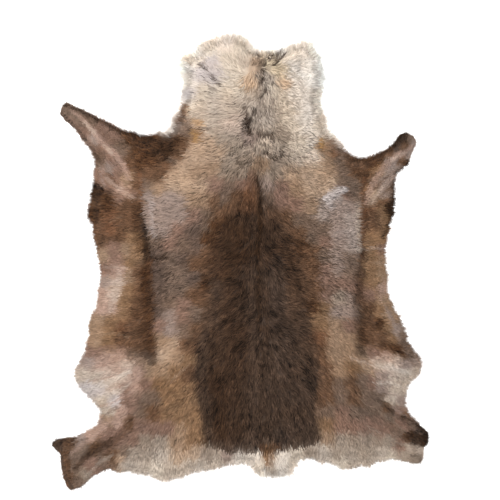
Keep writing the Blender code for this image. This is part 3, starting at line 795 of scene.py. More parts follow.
    (T.BLUSH, 0.5, (305, -264, 2.7), (338, -278, 3.6), (371, -291, 3.3)),
    (T.CREAM, 0.45, (371, -286, 4.4), (415, -291, 6.6), (464, -308, 5.5)),
    (T.BLUSH, 0.3, (371, -261, 3.8), (415, -264, 4.9), (442, -272, 3.3)),
    (T.TAUPE, 0.5, (431, -272, 3.8), (459, -286, 5.5), (475, -299, 4.4)),
    (T.TAUPE, 0.55, (360, -299, 2.5), (398, -308, 3), (448, -324, 2.7)),
    (T.CREAM, 0.4, (377, -335, 4.4), (415, -332, 5.5), (442, -341, 4.4)),
    (T.ROSE, 0.3, (360, -319, 2.5), (404, -327, 2.7), (442, -335, 2.2)),
    (T.TAUPE, 0.5, (371, -354, 2.7), (409, -362, 3), (442, -373, 2.7)),
    (T.ROSE, 0.4, (355, -313, 5.5), (360, -346, 6.6)),
    # creases in the thighs: dark strokes of painted shade along them, with paler strokes beside some
    (T.BROWN, 0.5, (-187, -335, 2.5), (-132, -286, 2.7)),
    (T.BEIGE, 0.4, (-198, -335, 2.5), (-143, -286, 2.5)),
    (T.BROWN, 0.4, (-149, -365, 2.5), (-116, -335, 2.7)),
    (T.UMBER, 0.6, (-138, -502, 3.3), (-110, -496, 4.1), (-77, -488, 3.8)),
    (T.BROWN, 0.4, (-165, -392, 2.2), (-149, -357, 2.2)),
    (T.BEIGE, 0.4, (316, -269, 4.4), (344, -291, 4.9), (366, -313, 3.8)),
    # hind legs: dark diagonals and dark ends
    (T.UMBER, 0.5, (-291, -428, 4.9), (-326, -472, 9.8), (-365, -507, 12)),
    (T.BARK, 0.75, (-356, -488, 5.5), (-392, -513, 12), (-422, -535, 9.8), (-455, -570, 4.4)),
    (T.PINK, 0.5, (-313, -412, 5.5), (-362, -439, 8.2), (-400, -472, 8.2), (-438, -505, 6.6),
      (-466, -529, 4.4)), (T.DARK, 0.7, (-515, -505, 4.9), (-488, -495, 4.9), (-455, -487, 3.3)),
    (T.UMBER, 0.4, (-499, -510, 5.5), (-460, -499, 4.9), (-422, -488, 3.8)),
    (T.SOOT, 0.8, (-493, -516, 3.3), (-489, -570, 3.6), (-471, -611, 3.6), (-460, -628, 3.3)),
    (T.UMBER, 0.3, (-477, -532, 6.6), (-471, -576, 5.5)),
    (T.OAT, 0.35, (-351, -529, 3.8), (-389, -554, 4.4), (-427, -592, 3.8)),
    (T.BROWN, 0.35, (-318, -477, 3.8), (-351, -505, 3.8), (-378, -535, 3.3)),
    (T.SOOT, 0.3, (-460, -609, 3.8), (-444, -622, 3.3)), (T.TAUPE, 0.4, (-376, -428, 3.8), (-406, -458, 3.8)),
    (T.SOOT, 0.5, (377, -379, 3.8), (409, -403, 6), (442, -433, 6), (464, -455, 4.9)),
    (T.DARK, 0.5, (398, -395, 4.4), (415, -412, 4.9)),
    (T.TAUPE, 0.5, (420, -401, 4.4), (442, -414, 5.5), (461, -433, 3.8)),
    (T.DARK, 0.75, (442, -423, 3.3), (470, -438, 3.8), (497, -458, 4.1), (513, -477, 4.4)),
    (T.ROSE, 0.35, (448, -442, 4.4), (475, -461, 5.5)),
    (T.DARK, 0.5, (453, -472, 5.5), (481, -480, 9.8), (508, -483, 8.2)),
    (T.DARK, 0.9, (508, -472, 5.5), (508, -505, 4.9)),
    (T.BARK, 0.5, (442, -483, 4.4), (467, -491, 6), (502, -502, 6)),
    (T.STONE, 0.6, (426, -499, 3.3), (464, -507, 4.4), (502, -518, 3.3)),
    (T.SOOT, 0.6, (467, -533, 2.7), (491, -535, 2.7), (494, -551, 2.7)),
    (T.DUSK, 0.45, (360, -433, 2.7), (398, -453, 3), (431, -477, 2.7)),
    (T.ASH, 0.4, (382, -412, 2.7), (420, -439, 3.3), (448, -466, 2.7)),
    (T.STONE, 0.35, (344, -450, 2.5), (382, -469, 2.7), (415, -491, 2.5)),
    # scar and tail
    (T.LILAC, 0.9, (234, 174, 9.3), (254, 182, 13.1), (273, 193, 11.5), (289, 198, 5.5)),
    (T.LILAC, 0.8, (240, 171, 9.3), (248, 149, 7.1)), (T.SOOT, 0.5, (286, 185, 4.9), (303, 179, 3.8)),
    (T.DUSK, 0.5, (70, -491, 8.2), (76, -513, 12.6)),
    (T.TAWNY, 0.9, (77, -518, 13.7), (78, -537, 17.5), (81, -559, 11.5)),
    (T.OAT, 0.45, (81, -537, 4.4), (87, -576, 7.1)), (T.SOOT, 0.4, (59, -499, 2.7), (62, -537, 3.3)),
    (T.SOOT, 0.7, (100, -475, 16.4), (133, -496, 16.4)),
    (T.UMBER, 0.7, (59, -513, 10.9), (81, -518, 13.7), (100, -513, 10.9)),
    (T.CREAM, 0.4, (32, -543, 8.2), (18, -576, 8.2)), (T.CREAM, 0.5, (109, -532, 10.9), (125, -570, 8.2)),
))

TICKS = table(Ticking, (
    (62, 490, 30, 0.35), (75, 560, 28, 0.4), (22, 375, 40, 0.35), (78, 320, 45, 0.35), (-110, 500, 38, 0.14),
    (-95, 430, 55, 0.1), (-30, 440, 40, 0.12), (120, 410, 45, 0.06), (0, 280, 65, 0.3), (130, 285, 60, 0.18),
    (-90, 300, 55, 0.12), (200, 300, 55, 0.12), (-210, 60, 60, 0.3), (-200, -60, 60, 0.3),
    (150, 20, 80, 0.25), (260, 0, 70, 0.28), (280, -90, 60, 0.28), (-120, 160, 70, 0.18),
    (240, 150, 60, 0.15), (-170, -380, 80, 0.15), (-240, -480, 60, 0.08), (290, -440, 70, 0.1),
))

OVERHANGS = table(Overhang, (
    (223, 387, 27, 6.6), (327, 283, 27, 4.1), (459, 305, 33, 3.6), (415, 127, 38, 2.7), (349, -540, 49, 10.9),
    (289, -548, 38, 10.4), (223, -540, 33, 8.8), (-88, -559, 68, 5.5), (-170, -578, 44, 7.1),
    (-334, -562, 33, 10.4), (-477, -551, 36, 6.3), (-441, -308, 33, 4.4), (-433, 343, 22, 4.9),
    (-181, 387, 27, 9.3), (-283, 349, 27, 2.7), (-452, -472, 33, -7.1), (-381, -412, 25, -4.9),
    (470, -423, 27, -6), (-329, 365, 22, -4.4), (445, -198, 25, -3.3), (404, 70, 16, -2.7),
    (-107, 598, 22, 12), (-159, 535, 38, 11.5), (18, 600, 16, 9.8), (141, 595, 19, 6.6), (215, 568, 22, 8.2),
    (-14, -548, 22, 2.7), (-285, -573, 22, 1.6), (-39, 617, 27, 4.9), (-75, 614, 25, 6), (-4, 614, 22, 5.5),
    (180, 600, 22, 9.8), (223, 513, 25, 6.6), (393, -543, 16, 6.6), (456, 264, 14, 2.2), (426, 220, 14, 2.2),
    (508, -453, 14, -4.4), (440, 354, 11, -2.2), (483, 330, 11, 2.2), (-206, -600, 25, 4.9),
    (-466, -622, 11, 9.3), (-425, -617, 8, -2.2), (-493, -477, 14, -6.6), (-518, -507, 8, 3.8),
    (-414, -455, 14, -2.2), (-400, -127, 16, -2.2), (-408, 291, 16, -2.2), (-406, 64, 14, -2.2),
    (27, -565, 16, 3.3), (130, -578, 19, 3.3), (-411, 97, 27, -7.1), (-452, 433, 16, -3.3),
    (284, 299, 22, -4.9), (415, 338, 19, -4.9), (497, -447, 16, -5.5), (450, -226, 19, -9.3),
    (-460, -480, 19, -3.8), (-154, 557, 19, 7.1), (237, 464, 33, 6.6), (232, 409, 27, 8.2),
    (494, -546, 11, 8.2), (-482, -480, 14, -5.5), (-417, 168, 16, -4.4), (-504, -483, 11, -6.6),
    (511, -518, 8, -16.4), (502, -513, 8, -5.5),
))

LIES = table(Lie, (
    # neck and ruff
    (-130, 560, 45, -130, 52, 0.7), (-60, 600, 40, -160, 48, 0.3), (0, 590, 40, 170, 46, 0.3),
    (-130, 480, 45, -105, 55, 0.45), (-70, 530, 45, -125, 52, 0.35), (-60, 470, 45, -98, 52, 0.45),
    (-150, 420, 45, -90, 52, 0.45), (-60, 390, 50, -85, 50, 0.45), (65, 560, 30, 175, 42, 1.0),
    (65, 495, 30, 5, 42, 1.0), (60, 440, 32, -5, 42, 1.0), (150, 595, 35, 160, 48, 0.25),
    (195, 560, 40, 125, 50, 0.2), (200, 490, 45, 100, 52, 0.25), (190, 420, 45, 90, 52, 0.35),
    (125, 500, 32, 75, 46, 0.6), (120, 420, 38, 72, 46, 0.6), (10, 350, 42, -50, 46, 0.9),
    (65, 350, 28, 0, 42, 1.0), (120, 340, 42, 60, 46, 0.7), (190, 340, 45, 80, 46, 0.4),
    (-110, 320, 50, -85, 42, 0.4),
    # withers, back and flanks
    (-60, 250, 45, -60, 36, 0.6), (0, 230, 38, -25, 36, 0.6), (65, 220, 28, 0, 34, 0.6),
    (120, 250, 42, 50, 36, 0.7), (190, 240, 48, 82, 34, 0.6), (-140, 230, 48, -88, 32, 0.4),
    (-220, 150, 48, -88, 30, 0.35), (-150, 150, 45, -75, 32, 0.4), (-80, 130, 45, -40, 32, 0.5),
    (0, 130, 38, -8, 32, 0.4), (65, 100, 28, 0, 32, 0.35), (120, 120, 38, 48, 32, 0.35),
    (180, 120, 45, 80, 32, 0.4), (270, 120, 48, 93, 30, 0.4), (-220, 40, 42, -50, 29, 0.6),
    (-150, 40, 48, -62, 31, 0.4), (-50, 0, 55, -60, 31, 0.35), (65, -50, 38, 0, 31, 0.3),
    (130, 0, 45, 78, 31, 0.4), (200, 0, 48, 86, 31, 0.4), (290, 30, 42, 72, 29, 0.5),
    (-200, -70, 48, -62, 29, 0.45), (-120, -90, 48, -80, 31, 0.4), (-20, -150, 55, -52, 31, 0.35),
    (150, -120, 55, 74, 31, 0.35), (240, -90, 48, 65, 29, 0.45), (300, -100, 38, 52, 29, 0.5),
    (-180, -200, 55, -62, 29, 0.35), (-60, -280, 55, -30, 31, 0.3), (65, -300, 38, 0, 31, 0.3),
    (180, -280, 55, 45, 31, 0.3), (270, -230, 48, 52, 29, 0.4), (-180, -350, 55, -40, 29, 0.3),
    (-60, -430, 55, -15, 32, 0.3), (65, -450, 38, 0, 32, 0.3), (180, -430, 55, 15, 32, 0.3),
    (290, -350, 55, 45, 29, 0.3), (-200, -540, 55, -10, 32, 0.15), (-50, -540, 48, 0, 32, 0.15),
    (90, -575, 25, 0, 42, 0.8), (200, -520, 48, 0, 30, 0.15), (320, -510, 55, 15, 26, 0.15),
    # belly
    (-370, 150, 42, -95, 22, 0.3), (-350, 50, 48, -85, 19, 0.25), (-350, -70, 48, -90, 17, 0.2),
    (-350, -180, 48, -85, 19, 0.25), (-390, -290, 48, -72, 23, 0.3), (-330, -360, 48, -62, 24, 0.3),
    (-290, -250, 38, -62, 21, 0.3), (385, 130, 38, 80, 19, 0.3), (380, 40, 38, 85, 19, 0.25),
    (385, -60, 38, 90, 17, 0.2), (390, -160, 38, 80, 19, 0.25), (430, -260, 42, 65, 23, 0.3),
    (380, -340, 42, 60, 23, 0.3),
    # legs
    (-300, 310, 48, -110, 21, 0.25), (-380, 350, 42, -125, 12, 0.15), (-460, 410, 38, -128, 9, 0.1),
    (-370, 240, 38, -125, 19, 0.25), (350, 260, 38, 115, 19, 0.2), (410, 290, 32, 135, 12, 0.15),
    (455, 335, 28, 150, 9, 0.1), (390, 200, 32, 125, 17, 0.2), (-320, -470, 48, -50, 21, 0.25),
    (-410, -520, 48, -60, 13, 0.15), (-470, -560, 38, -65, 9, 0.1), (380, -430, 48, 45, 21, 0.25),
    (450, -480, 42, 55, 13, 0.15), (490, -510, 28, 60, 9, 0.1),
))


@dataclass
class Coat:
    """The coat's colour and lie at any place of the plan.

    Attributes:
        fray: How far the edges of patches and streaks are pulled about.
        fray_size: Width of the tufts that pull them.
        comb: How far the edges are drawn out along the hairs.
        comb_mix: How much the grain, the sweep and the clumps draw them, and what is taken off that.
        streak_fray: How much of all this the streaks take part in.
        rim_painted_light: How far long hair is painted paler at the rim, as painted light that lifts the
        shade there.
        rim_depth: How deep that goes.
        overhang: How much of its length the hair hangs over the skin's cut edge.
        mottles: How much the coat's brightness drifts, over wide and over narrow stretches.
        warmth: How much it drifts towards red and away from blue.
        grain_step: Spacing of the grids that the grains are combed on.
    """

    form: HideForm
    fray: float = 4 * MM
    fray_size: float = 16 * MM
    comb: float = 10 * MM
    comb_mix: tuple[float, float, float, float] = (0.5, 0.5, 0.6, 0.2)
    streak_fray: float = 0.35
    rim_painted_light: float = 0.75
    rim_depth: float = 7 * MM
    overhang: float = 0.45
    mottles: tuple[Waves, ...] = (Waves(0.04, 24 * MM, 15), Waves(0.03, 9 * MM, 16))
    warmth: Waves = Waves(0.03, 38 * MM, 18)
    grain_step: float = 2 * MM
    lie_fields: list[PlanField] = field(init=False)
    grain: PlanField = field(init=False)
    sweep: PlanField = field(init=False)
    clump: PlanField = field(init=False)
    skin: PlanField = field(init=False)

    def __post_init__(self) -> None:
        """Work out the lie on the form's grid, the grain combed along it, and the skin's edge."""
        inside = self.form.inside
        share = bells(inside.points(), LIES)
        share /= share.sum(axis=1, keepdims=True)
        angle = np.radians([row.heading for row in LIES])
        numbers = np.column_stack([np.sin(angle), -np.cos(angle), [row.length * MM for row in LIES],
                                   [row.shag for row in LIES]])
        rows = (share @ numbers).T.reshape(4, *inside.values.shape)
        self.lie_fields = [PlanField(inside.low, inside.step, values) for values in rows]
        self.grain = self.combed(steps=5, seed=17)
        self.sweep = self.combed(steps=18, seed=19)
        self.clump = self.combed(steps=10, seed=20, width=2 * MM)
        self.skin = PlanField(inside.low, inside.step, inside.values - self.overhang * rows[2])

    def lie(self, places: np.ndarray) -> tuple[np.ndarray, np.ndarray, np.ndarray]:
        """How the hair lies: its heading as a unit vector, its length in metres, and its shag."""
        x, y, length, shag = (part.at(places) for part in self.lie_fields)
        return unit(np.column_stack([x, y])), length, shag

    def combed(self, steps: int, seed: int, width: float = 0.0) -> PlanField:
        """Fine stripes along the hair: random dots, each mixed with those before and behind it.

        Args:
            steps: How many grid steps the mixing runs either way.
            seed: Picks the dots.
            width: How far the dots are smoothed first, for broader stripes.

        Returns:
            A field that runs from about -1 to 1.
        """
        inside = self.form.inside
        rows, columns = (np.array(inside.values.shape) * inside.step / self.grain_step).astype(int)
        dots = np.random.default_rng(seed).uniform(-1, 1, rows * columns)
        if width:
            dots = PlanField(inside.low, self.grain_step, dots.reshape(rows, columns)).blurred(width)
            dots = dots.values.ravel()
        y, x = (part.ravel().astype(float) for part in np.mgrid[:rows, :columns])
        heading = self.lie(inside.low + self.grain_step * np.column_stack([x, y]))[0]
        total = np.zeros(rows * columns)
        for way in (-1, 1):
            i, j, cell = x.copy(), y.copy(), np.arange(rows * columns)
            for _ in range(steps):
                total += dots[cell]
                i, j = i + way * heading[cell, 0], j + way * heading[cell, 1]
                column = np.clip(np.rint(i), 0, columns - 1).astype(int)
                cell = np.clip(np.rint(j), 0, rows - 1).astype(int) * columns + column
        total /= 2.2 * total.std()
        return PlanField(inside.low, self.grain_step, np.clip(total, -1, 1).reshape(rows, columns))

    def colour(self, places: np.ndarray) -> np.ndarray:
        """The coat's colour: a mix of the soft patches, with the streaks laid over it in turn.

        Their edges are pulled about by tufts and drawn out along the hairs by the grain.

        Args:
            places: Points of the plan, in metres.

        Returns:
            One row of linear red, green and blue for each place.
        """
        pull = np.column_stack([smooth_noise(places, self.fray_size, seed) for seed in (11, 12)])
        frayed = places + self.fray * pull
        grain, sweep, clump, back = self.comb_mix
        drawn = grain * self.grain.at(places) + sweep * self.sweep.at(places)
        drawn += clump * self.clump.at(places) - back
        frayed += self.comb * drawn[:, None] * self.lie(places)[0]
        share = bells(frayed, PATCHES)
        tints = np.array([patch.tint.linear() for patch in PATCHES])
        colour = np.exp(share @ np.log(tints) / share.sum(axis=1, keepdims=True))
        colour += SADDLE.cover(frayed)[:, None] * (SADDLE.tint.linear() - colour)
        # painted light: near the rim long hair is mixed towards ivory, lifting the shade there
        painted_rim_light = self.rim_painted_light * np.exp(-np.maximum(self.form.inside.at(places), 0) / self.rim_depth)
        painted_rim_light *= smoothstep(self.lie(places)[1], *LONG_HAIR)
        colour += painted_rim_light[:, None] * (Tint.IVORY.linear() - colour)
        near = places + self.streak_fray * (frayed - places)
        for streak in STREAKS:
            hit = streak.near(near)
            colour[hit] += streak.cover(near[hit])[:, None] * (streak.tint.linear() - colour[hit])
        light = 1 + sum(mottle.at(places) for mottle in self.mottles)
        drift = self.warmth.at(places)[:, None] * np.array([1.0, 0.1, -1.0])
        return colour * light[:, None] * (1 + drift)

    def ticked(self, places: np.ndarray) -> np.ndarray:
        """The share of dark hairs at each place."""
        return (bells(places, TICKS) * [row.share for row in TICKS]).max(axis=1)


# ---- Finishes ----

class Shade:
    """A shader socket that can be reckoned with: each operator adds one Math node."""

    def __init__(self, tree: bpy.types.NodeTree, socket: bpy.types.NodeSocket) -> None:
        """Keep the socket and the tree that new nodes go into."""
        self.tree, self.socket = tree, socket

    def math(self, operation: str, *others: "Shade | float") -> "Shade":
        """Add a Math node that takes this value and the others."""
        return node(self.tree, "ShaderNodeMath", {"operation": operation}, [self, *others])

    def __add__(self, other: "Shade | float") -> "Shade":
        """This value plus another."""
        return self.math("ADD", other)

    def __radd__(self, other: float) -> "Shade":
        """A number plus this value."""
        return self.math("ADD", other)

    def __sub__(self, other: "Shade | float") -> "Shade":
        """This value less another."""
        return self.math("SUBTRACT", other)

    def __rsub__(self, other: float) -> "Shade":
        """A number less this value."""
        return node(self.tree, "ShaderNodeMath", {"operation": "SUBTRACT"}, [other, self])

    def __mul__(self, other: "Shade | float") -> "Shade":
        """This value times another."""
        return self.math("MULTIPLY", other)

    def __pow__(self, other: "Shade | float") -> "Shade":
        """This value to a power."""
        return self.math("POWER", other)

    def sine(self) -> "Shade":
        """The sine of this value in radians."""
        return self.math("SINE")

    def between(self, low: float, high: float) -> "Shade":
        """0 below low and 1 above high, with a smooth rise."""
        return node(self.tree, "ShaderNodeMapRange", {"interpolation_type": "SMOOTHSTEP"},
                    {"Value": self, "From Min": low, "From Max": high})


def node(tree: bpy.types.NodeTree, kind: str, settings: dict | None = None,
         inputs: "dict | list | None" = None, output: "str | int" = 0) -> Shade:
    """Add any node.

    Args:
        tree: The material's node tree.
        kind: The node's type.
        settings: Its properties, set first.
        inputs: Values or links of its sockets, by name, by number or in order.
        output: The socket to give back, by name or number.

    Returns:
        The chosen output.
    """
    made = tree.nodes.new(kind)
    for name, value in (settings or {}).items():
        setattr(made, name, value)
    pairs = inputs.items() if isinstance(inputs, dict) else enumerate(inputs or [])
    for name, value in pairs:
        if isinstance(value, Shade):
            tree.links.new(value.socket, made.inputs[name])
        else:
            made.inputs[name].default_value = value
    return Shade(tree, made.outputs[output])


def noise(place: Shade, scale: float, detail: float, output: str | int = 0) -> Shade:
    """A Noise texture's value at a place, or its colour."""
    return node(place.tree, "ShaderNodeTexNoise", None,
                {"Vector": place, "Scale": scale, "Detail": detail}, output)


def mixed(low: Shade | tuple, high: Shade | tuple, share: Shade | float, tree: bpy.types.NodeTree,
          blend: str = "MIX") -> Shade:
    """Mix two colours through one Mix node.

    Args:
        low: The colour at share 0.
        high: The colour at share 1, or what it is blended with.
        share: How much of the second shows.
        tree: The material's node tree.
        blend: The Mix node's blend type.

    Returns:
        The mixed colour.
    """
    settings = {"data_type": "RGBA", "blend_type": blend, "clamp_factor": True}
    return node(tree, "ShaderNodeMix", settings, {0: share, 6: low, 7: high}, 2)


def new_material(name: str) -> tuple[bpy.types.NodeTree, bpy.types.Node, bpy.types.Material]:
    """A material with a bare Principled BSDF: its tree, that node and itself."""
    material = bpy.data.materials.new(name)
    material.use_nodes = True
    return material.node_tree, material.node_tree.nodes["Principled BSDF"], material


@dataclass(frozen=True)
class Layers:
    """What a finish makes of a place: a colour, the shade on it, a roughness and the bump's inputs."""

    colour: Shade
    shade: Shade
    rough: Shade
    bump: dict


@dataclass(frozen=True)
class Finish:
    """A finish on Object coordinates and attributes.

    Attributes:
        name: The material's name.
        specular: How much the surface mirrors, as its shader counts it.
    """

    name: str
    specular: float = 0.2

    def layers(self, tree: bpy.types.NodeTree, place: Shade) -> Layers:
        """What the finish makes of a place in Object coordinates; each finish has its own."""
        raise NotImplementedError

    def material(self) -> bpy.types.Material:
        """Build the material from the finish's layers."""
        tree, shader, material = new_material(self.name)
        sockets = shader.inputs
        layers = self.layers(tree, node(tree, "ShaderNodeTexCoord", None, None, "Object"))
        grey = node(tree, "ShaderNodeCombineColor", None, [layers.shade] * 3)
        tree.links.new(mixed(layers.colour, grey, 1.0, tree, "MULTIPLY").socket, sockets["Base Color"])
        tree.links.new(layers.rough.socket, sockets["Roughness"])
        tree.links.new(node(tree, "ShaderNodeBump", None, layers.bump).socket, sockets["Normal"])
        sockets["Specular IOR Level"].default_value = self.specular
        return material


@dataclass(frozen=True)
class HairFinish(Finish):
    """The finish of the locks: darker at the root, with hairs of many tones side by side.

    Attributes:
        root_shade: Brightness at a lock's root, darker than the tip: partly the hair's own darker base and
        partly painted shade where the root lies under other locks.
        tip_shade: Brightness at its tip.
        tuft_spread: How far tufts differ in brightness.
        lock_spread: How far locks do.
        dark_swing: How much more a dark coat swings between its tones than a pale one.
        swing_fall: What is taken off that.
        swing_range: The least and the most that is left.
        hair_count: Hairs side by side round a lock.
        hair_swing: How far those differ in brightness.
        speckle_scale: How fine the specks are.
        speckle_swing: How far they differ in brightness.
        least_shade: The darkest that a hair gets.
        roughness: How rough it is at a lock's tip.
        relief: How high the hairs stand out of a lock.
    """

    name: str = "guard_hair"
    specular: float = 0.08
    root_shade: float = 0.7
    tip_shade: float = 1.1
    tuft_spread: float = 0.1
    lock_spread: float = 0.3
    dark_swing: float = 0.9
    swing_fall: float = 1.15
    swing_range: tuple[float, float] = (0.1, 3.2)
    hair_count: float = 5.0
    hair_swing: float = 0.05
    speckle_scale: float = 420.0
    speckle_swing: float = 0.25
    least_shade: float = 0.12
    roughness: float = 0.62
    relief: float = 0.4 * MM

    def layers(self, tree: bpy.types.NodeTree, place: Shade) -> Layers:
        """Read the coat colour and each lock's own numbers from attributes."""
        coat = node(tree, "ShaderNodeAttribute", {"attribute_name": "coat"})
        strand = node(tree, "ShaderNodeAttribute", {"attribute_name": "strand"}, None, "Color")
        parts = tree.nodes.new("ShaderNodeSeparateColor")
        tree.links.new(strand.socket, parts.inputs[0])
        along, tuft, lock = (Shade(tree, parts.outputs[k]) for k in range(3))
        across = Shade(tree, strand.socket.node.outputs["Alpha"])
        speckle = noise(place, self.speckle_scale, 2.0)
        hairs = (across * (2 * math.pi * self.hair_count) + lock * 9.0).sine()
        dark = node(tree, "ShaderNodeRGBToBW", None, [coat]) ** -0.5
        swing = (along ** 0.8) * (self.tip_shade - self.root_shade) + (self.root_shade - 1.0)
        swing = swing + (tuft - 0.5) * (2 * self.tuft_spread) + (lock - 0.5) * (2 * self.lock_spread)
        swing = swing + hairs * self.hair_swing + (speckle - 0.5) * self.speckle_swing
        depth = (dark * self.dark_swing - self.swing_fall).math("MAXIMUM", self.swing_range[0])
        shade = 1.0 + swing * depth.math("MINIMUM", self.swing_range[1])
        rough = self.roughness + (speckle - 0.5) * 0.2 + (1 - along) * 0.15
        return Layers(coat, shade.math("MAXIMUM", self.least_shade), rough,
                      {"Strength": 0.35, "Distance": self.relief, "Height": hairs})


@dataclass(frozen=True)
class UndercoatFinish(Finish):
    """The finish of the dense undercoat: the coat's colour in shade, with fine upright fibres.

    Attributes:
        shade: Its brightness where the coat is black.
        pale_shade: How much brighter it is where the coat is white.
        mottling: How far fibres and tufts each change the brightness.
        fibre_scale: How fine the fibres are.
        tuft_scale: How fine the tufts are.
        roughness: How rough it is on average.
        relief: How high the fibres stand.
    """

    name: str = "undercoat"
    shade: float = 0.66
    pale_shade: float = 0.34
    mottling: float = 0.5
    fibre_scale: float = 650.0
    tuft_scale: float = 90.0
    roughness: float = 0.78
    relief: float = 1.2 * MM

    def layers(self, tree: bpy.types.NodeTree, place: Shade) -> Layers:
        """Read the coat colour from an attribute, and lay the fibres on it."""
        coat = node(tree, "ShaderNodeAttribute", {"attribute_name": "coat"})
        fibre, tuft = noise(place, self.fibre_scale, 3.0), noise(place, self.tuft_scale, 2.0)
        shade = self.shade + node(tree, "ShaderNodeRGBToBW", None, [coat]) * self.pale_shade
        shade = shade + (fibre - 0.5) * self.mottling + (tuft - 0.5) * self.mottling
        return Layers(coat, shade, self.roughness + (fibre - 0.5) * 0.2,
                      {"Strength": 0.8, "Distance": self.relief, "Height": fibre + tuft})


@dataclass(frozen=True)
class SuedeFinish(Finish):
    """The finish of the tanned flesh side: pale suede with cloudy tan stains, veins and a fine nap.

    Attributes:
        pale: The suede's colour, linear.
        stained: Its colour in the stains.
        vein: Its colour along the veins.
        bend: How far the veins wander.
        roughness: How rough it is on average.
        relief: How high the nap and the veins stand.
    """

    name: str = "suede"
    pale: tuple[float, float, float, float] = (0.74, 0.64, 0.52, 1.0)
    stained: tuple[float, float, float, float] = (0.62, 0.5, 0.37, 1.0)
    vein: tuple[float, float, float, float] = (0.5, 0.38, 0.27, 1.0)
    bend: float = 0.35
    roughness: float = 0.88
    relief: float = 0.8 * MM

    def layers(self, tree: bpy.types.NodeTree, place: Shade) -> Layers:
        """Lay the stains, the veins and the nap on the suede."""
        cloud, nap = noise(place, 7.0, 5.0), noise(place, 520.0, 3.0)
        bent = [noise(place, 5.0, 2.0, "Color"), (self.bend,) * 3, place]
        warp = node(tree, "ShaderNodeVectorMath", {"operation": "MULTIPLY_ADD"}, bent)
        veins = node(tree, "ShaderNodeTexVoronoi", {"feature": "DISTANCE_TO_EDGE"},
                     {"Vector": warp, "Scale": 6.0}, "Distance").between(0.0, 0.05)
        base = mixed(self.stained, self.pale, cloud.between(0.35, 0.65), tree)
        return Layers(mixed(self.vein, base, 0.7 + veins * 0.3, tree), 0.86 + (nap - 0.5) * 0.5,
                      self.roughness + (nap - 0.5) * 0.15,
                      {"Strength": 0.5, "Distance": self.relief, "Height": nap * 0.5 + veins * 0.6 + cloud})


# ---- Mesh helpers ----

def add_piece(name: str, mesh: bpy.types.Mesh, material: bpy.types.Material) -> bpy.types.Object:
    """Link a mesh as a piece that rides on the hide, with its finish in the mesh's material slot."""
    piece = bpy.data.objects.new(name, mesh)
    bpy.context.scene.collection.objects.link(piece)
    mesh.materials.append(material)
    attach(piece, "root")
    return piece


def triangle_mesh(name: str, places: np.ndarray, triangles: np.ndarray) -> bpy.types.Mesh:
    """A smooth-shaded mesh from arrays of places and of triangles."""
    mesh = bpy.data.meshes.new(name)
    mesh.vertices.add(len(places))
    mesh.vertices.foreach_set("co", places.astype(np.float32).ravel())
    mesh.loops.add(3 * len(triangles))
    mesh.loops.foreach_set("vertex_index", triangles.astype(np.int32).ravel())
    mesh.polygons.add(len(triangles))
    mesh.polygons.foreach_set("loop_start", np.arange(0, 3 * len(triangles), 3, dtype=np.int32))
    mesh.polygons.foreach_set("use_smooth", np.ones(len(triangles), dtype=bool))
    mesh.update(calc_edges=True)
    return mesh


def paint(mesh: bpy.types.Mesh, name: str, rows: np.ndarray) -> None:
    """Keep one colour for each vertex in an attribute. A missing fourth part counts as 1."""
    if rows.shape[1] == 3:
        rows = np.column_stack([rows, np.ones(len(rows))])
    layer = mesh.attributes.new(name, "FLOAT_COLOR", "POINT")
    layer.data.foreach_set("color", rows.astype(np.float32).ravel())


def plan_cells(inside: PlanField, step: float) -> tuple[np.ndarray, np.ndarray]:
    """A grid cut to the places where a field is above 0, with the points of its rim drawn to the edge.

    They slide along the field's slope until the field is 0 there.

    Args:
        inside: The field, in metres inside the edge.
        step: The grid's spacing.

    Returns:
        The points of the plan, and the quads between them, anticlockwise.
    """
    rows, columns = inside.values.shape
    span = np.array([columns - 1, rows - 1]) * inside.step
    across, up = np.floor(span / step).astype(int)
    x, y = np.meshgrid(np.arange(across + 1), np.arange(up + 1))
    points = inside.low + step * np.column_stack([x.ravel(), y.ravel()])
    kept = inside.at(points) > 0.0
    corner = (np.arange(up)[:, None] * (across + 1) + np.arange(across)[None]).ravel()
    quads = np.stack([corner, corner + 1, corner + across + 2, corner + across + 1], axis=1)
    quads = quads[kept[quads].sum(axis=1) >= 2]
    used, flat, uses = np.unique(quads, return_inverse=True, return_counts=True)
    points, rim = points[used], ~kept[used] | (uses < 4)
    for _ in range(SLIDES):
        slope = inside.slope(points[rim])
        steep = np.maximum((slope**2).sum(axis=1), LEAST_SLOPE)
        move = -inside.at(points[rim]) / steep
        points[rim] += np.clip(move, -step, step)[:, None] * slope * SLIDE_SHARE
    return points, flat.reshape(-1, 4)


def closed_slab(name: str, points: np.ndarray, quads: np.ndarray, top: np.ndarray,
                under: float) -> bpy.types.Mesh:
    """A closed slab: a top surface over a plan, upright walls at its edge and a flat underside.

    Args:
        name: The mesh's name.
        points: The points of the plan.
        quads: The quads between them.
        top: The top's height at each point.
        under: The underside's height.

    Returns:
        The mesh, facing outwards.
    """
    triangles = np.concatenate([quads[:, [0, 1, 2]], quads[:, [0, 2, 3]]])
    mesh = triangle_mesh(name, np.column_stack([points, top]), triangles)
    shell = bmesh.new()
    shell.from_mesh(mesh)
    rim = [edge for edge in shell.edges if edge.is_boundary]
    made = bmesh.ops.extrude_edge_only(shell, edges=rim)["geom"]
    lower = [item for item in made if isinstance(item, bmesh.types.BMVert)]
    for vertex in lower:
        vertex.co.z = under
    floor_edges = [item for item in made if isinstance(item, bmesh.types.BMEdge) and item.is_boundary]
    bmesh.ops.triangle_fill(shell, edges=floor_edges, use_beauty=False, use_dissolve=False)
    bmesh.ops.recalc_face_normals(shell, faces=shell.faces)
    shell.to_mesh(mesh)
    shell.free()
    return mesh


# ---- The pieces ----

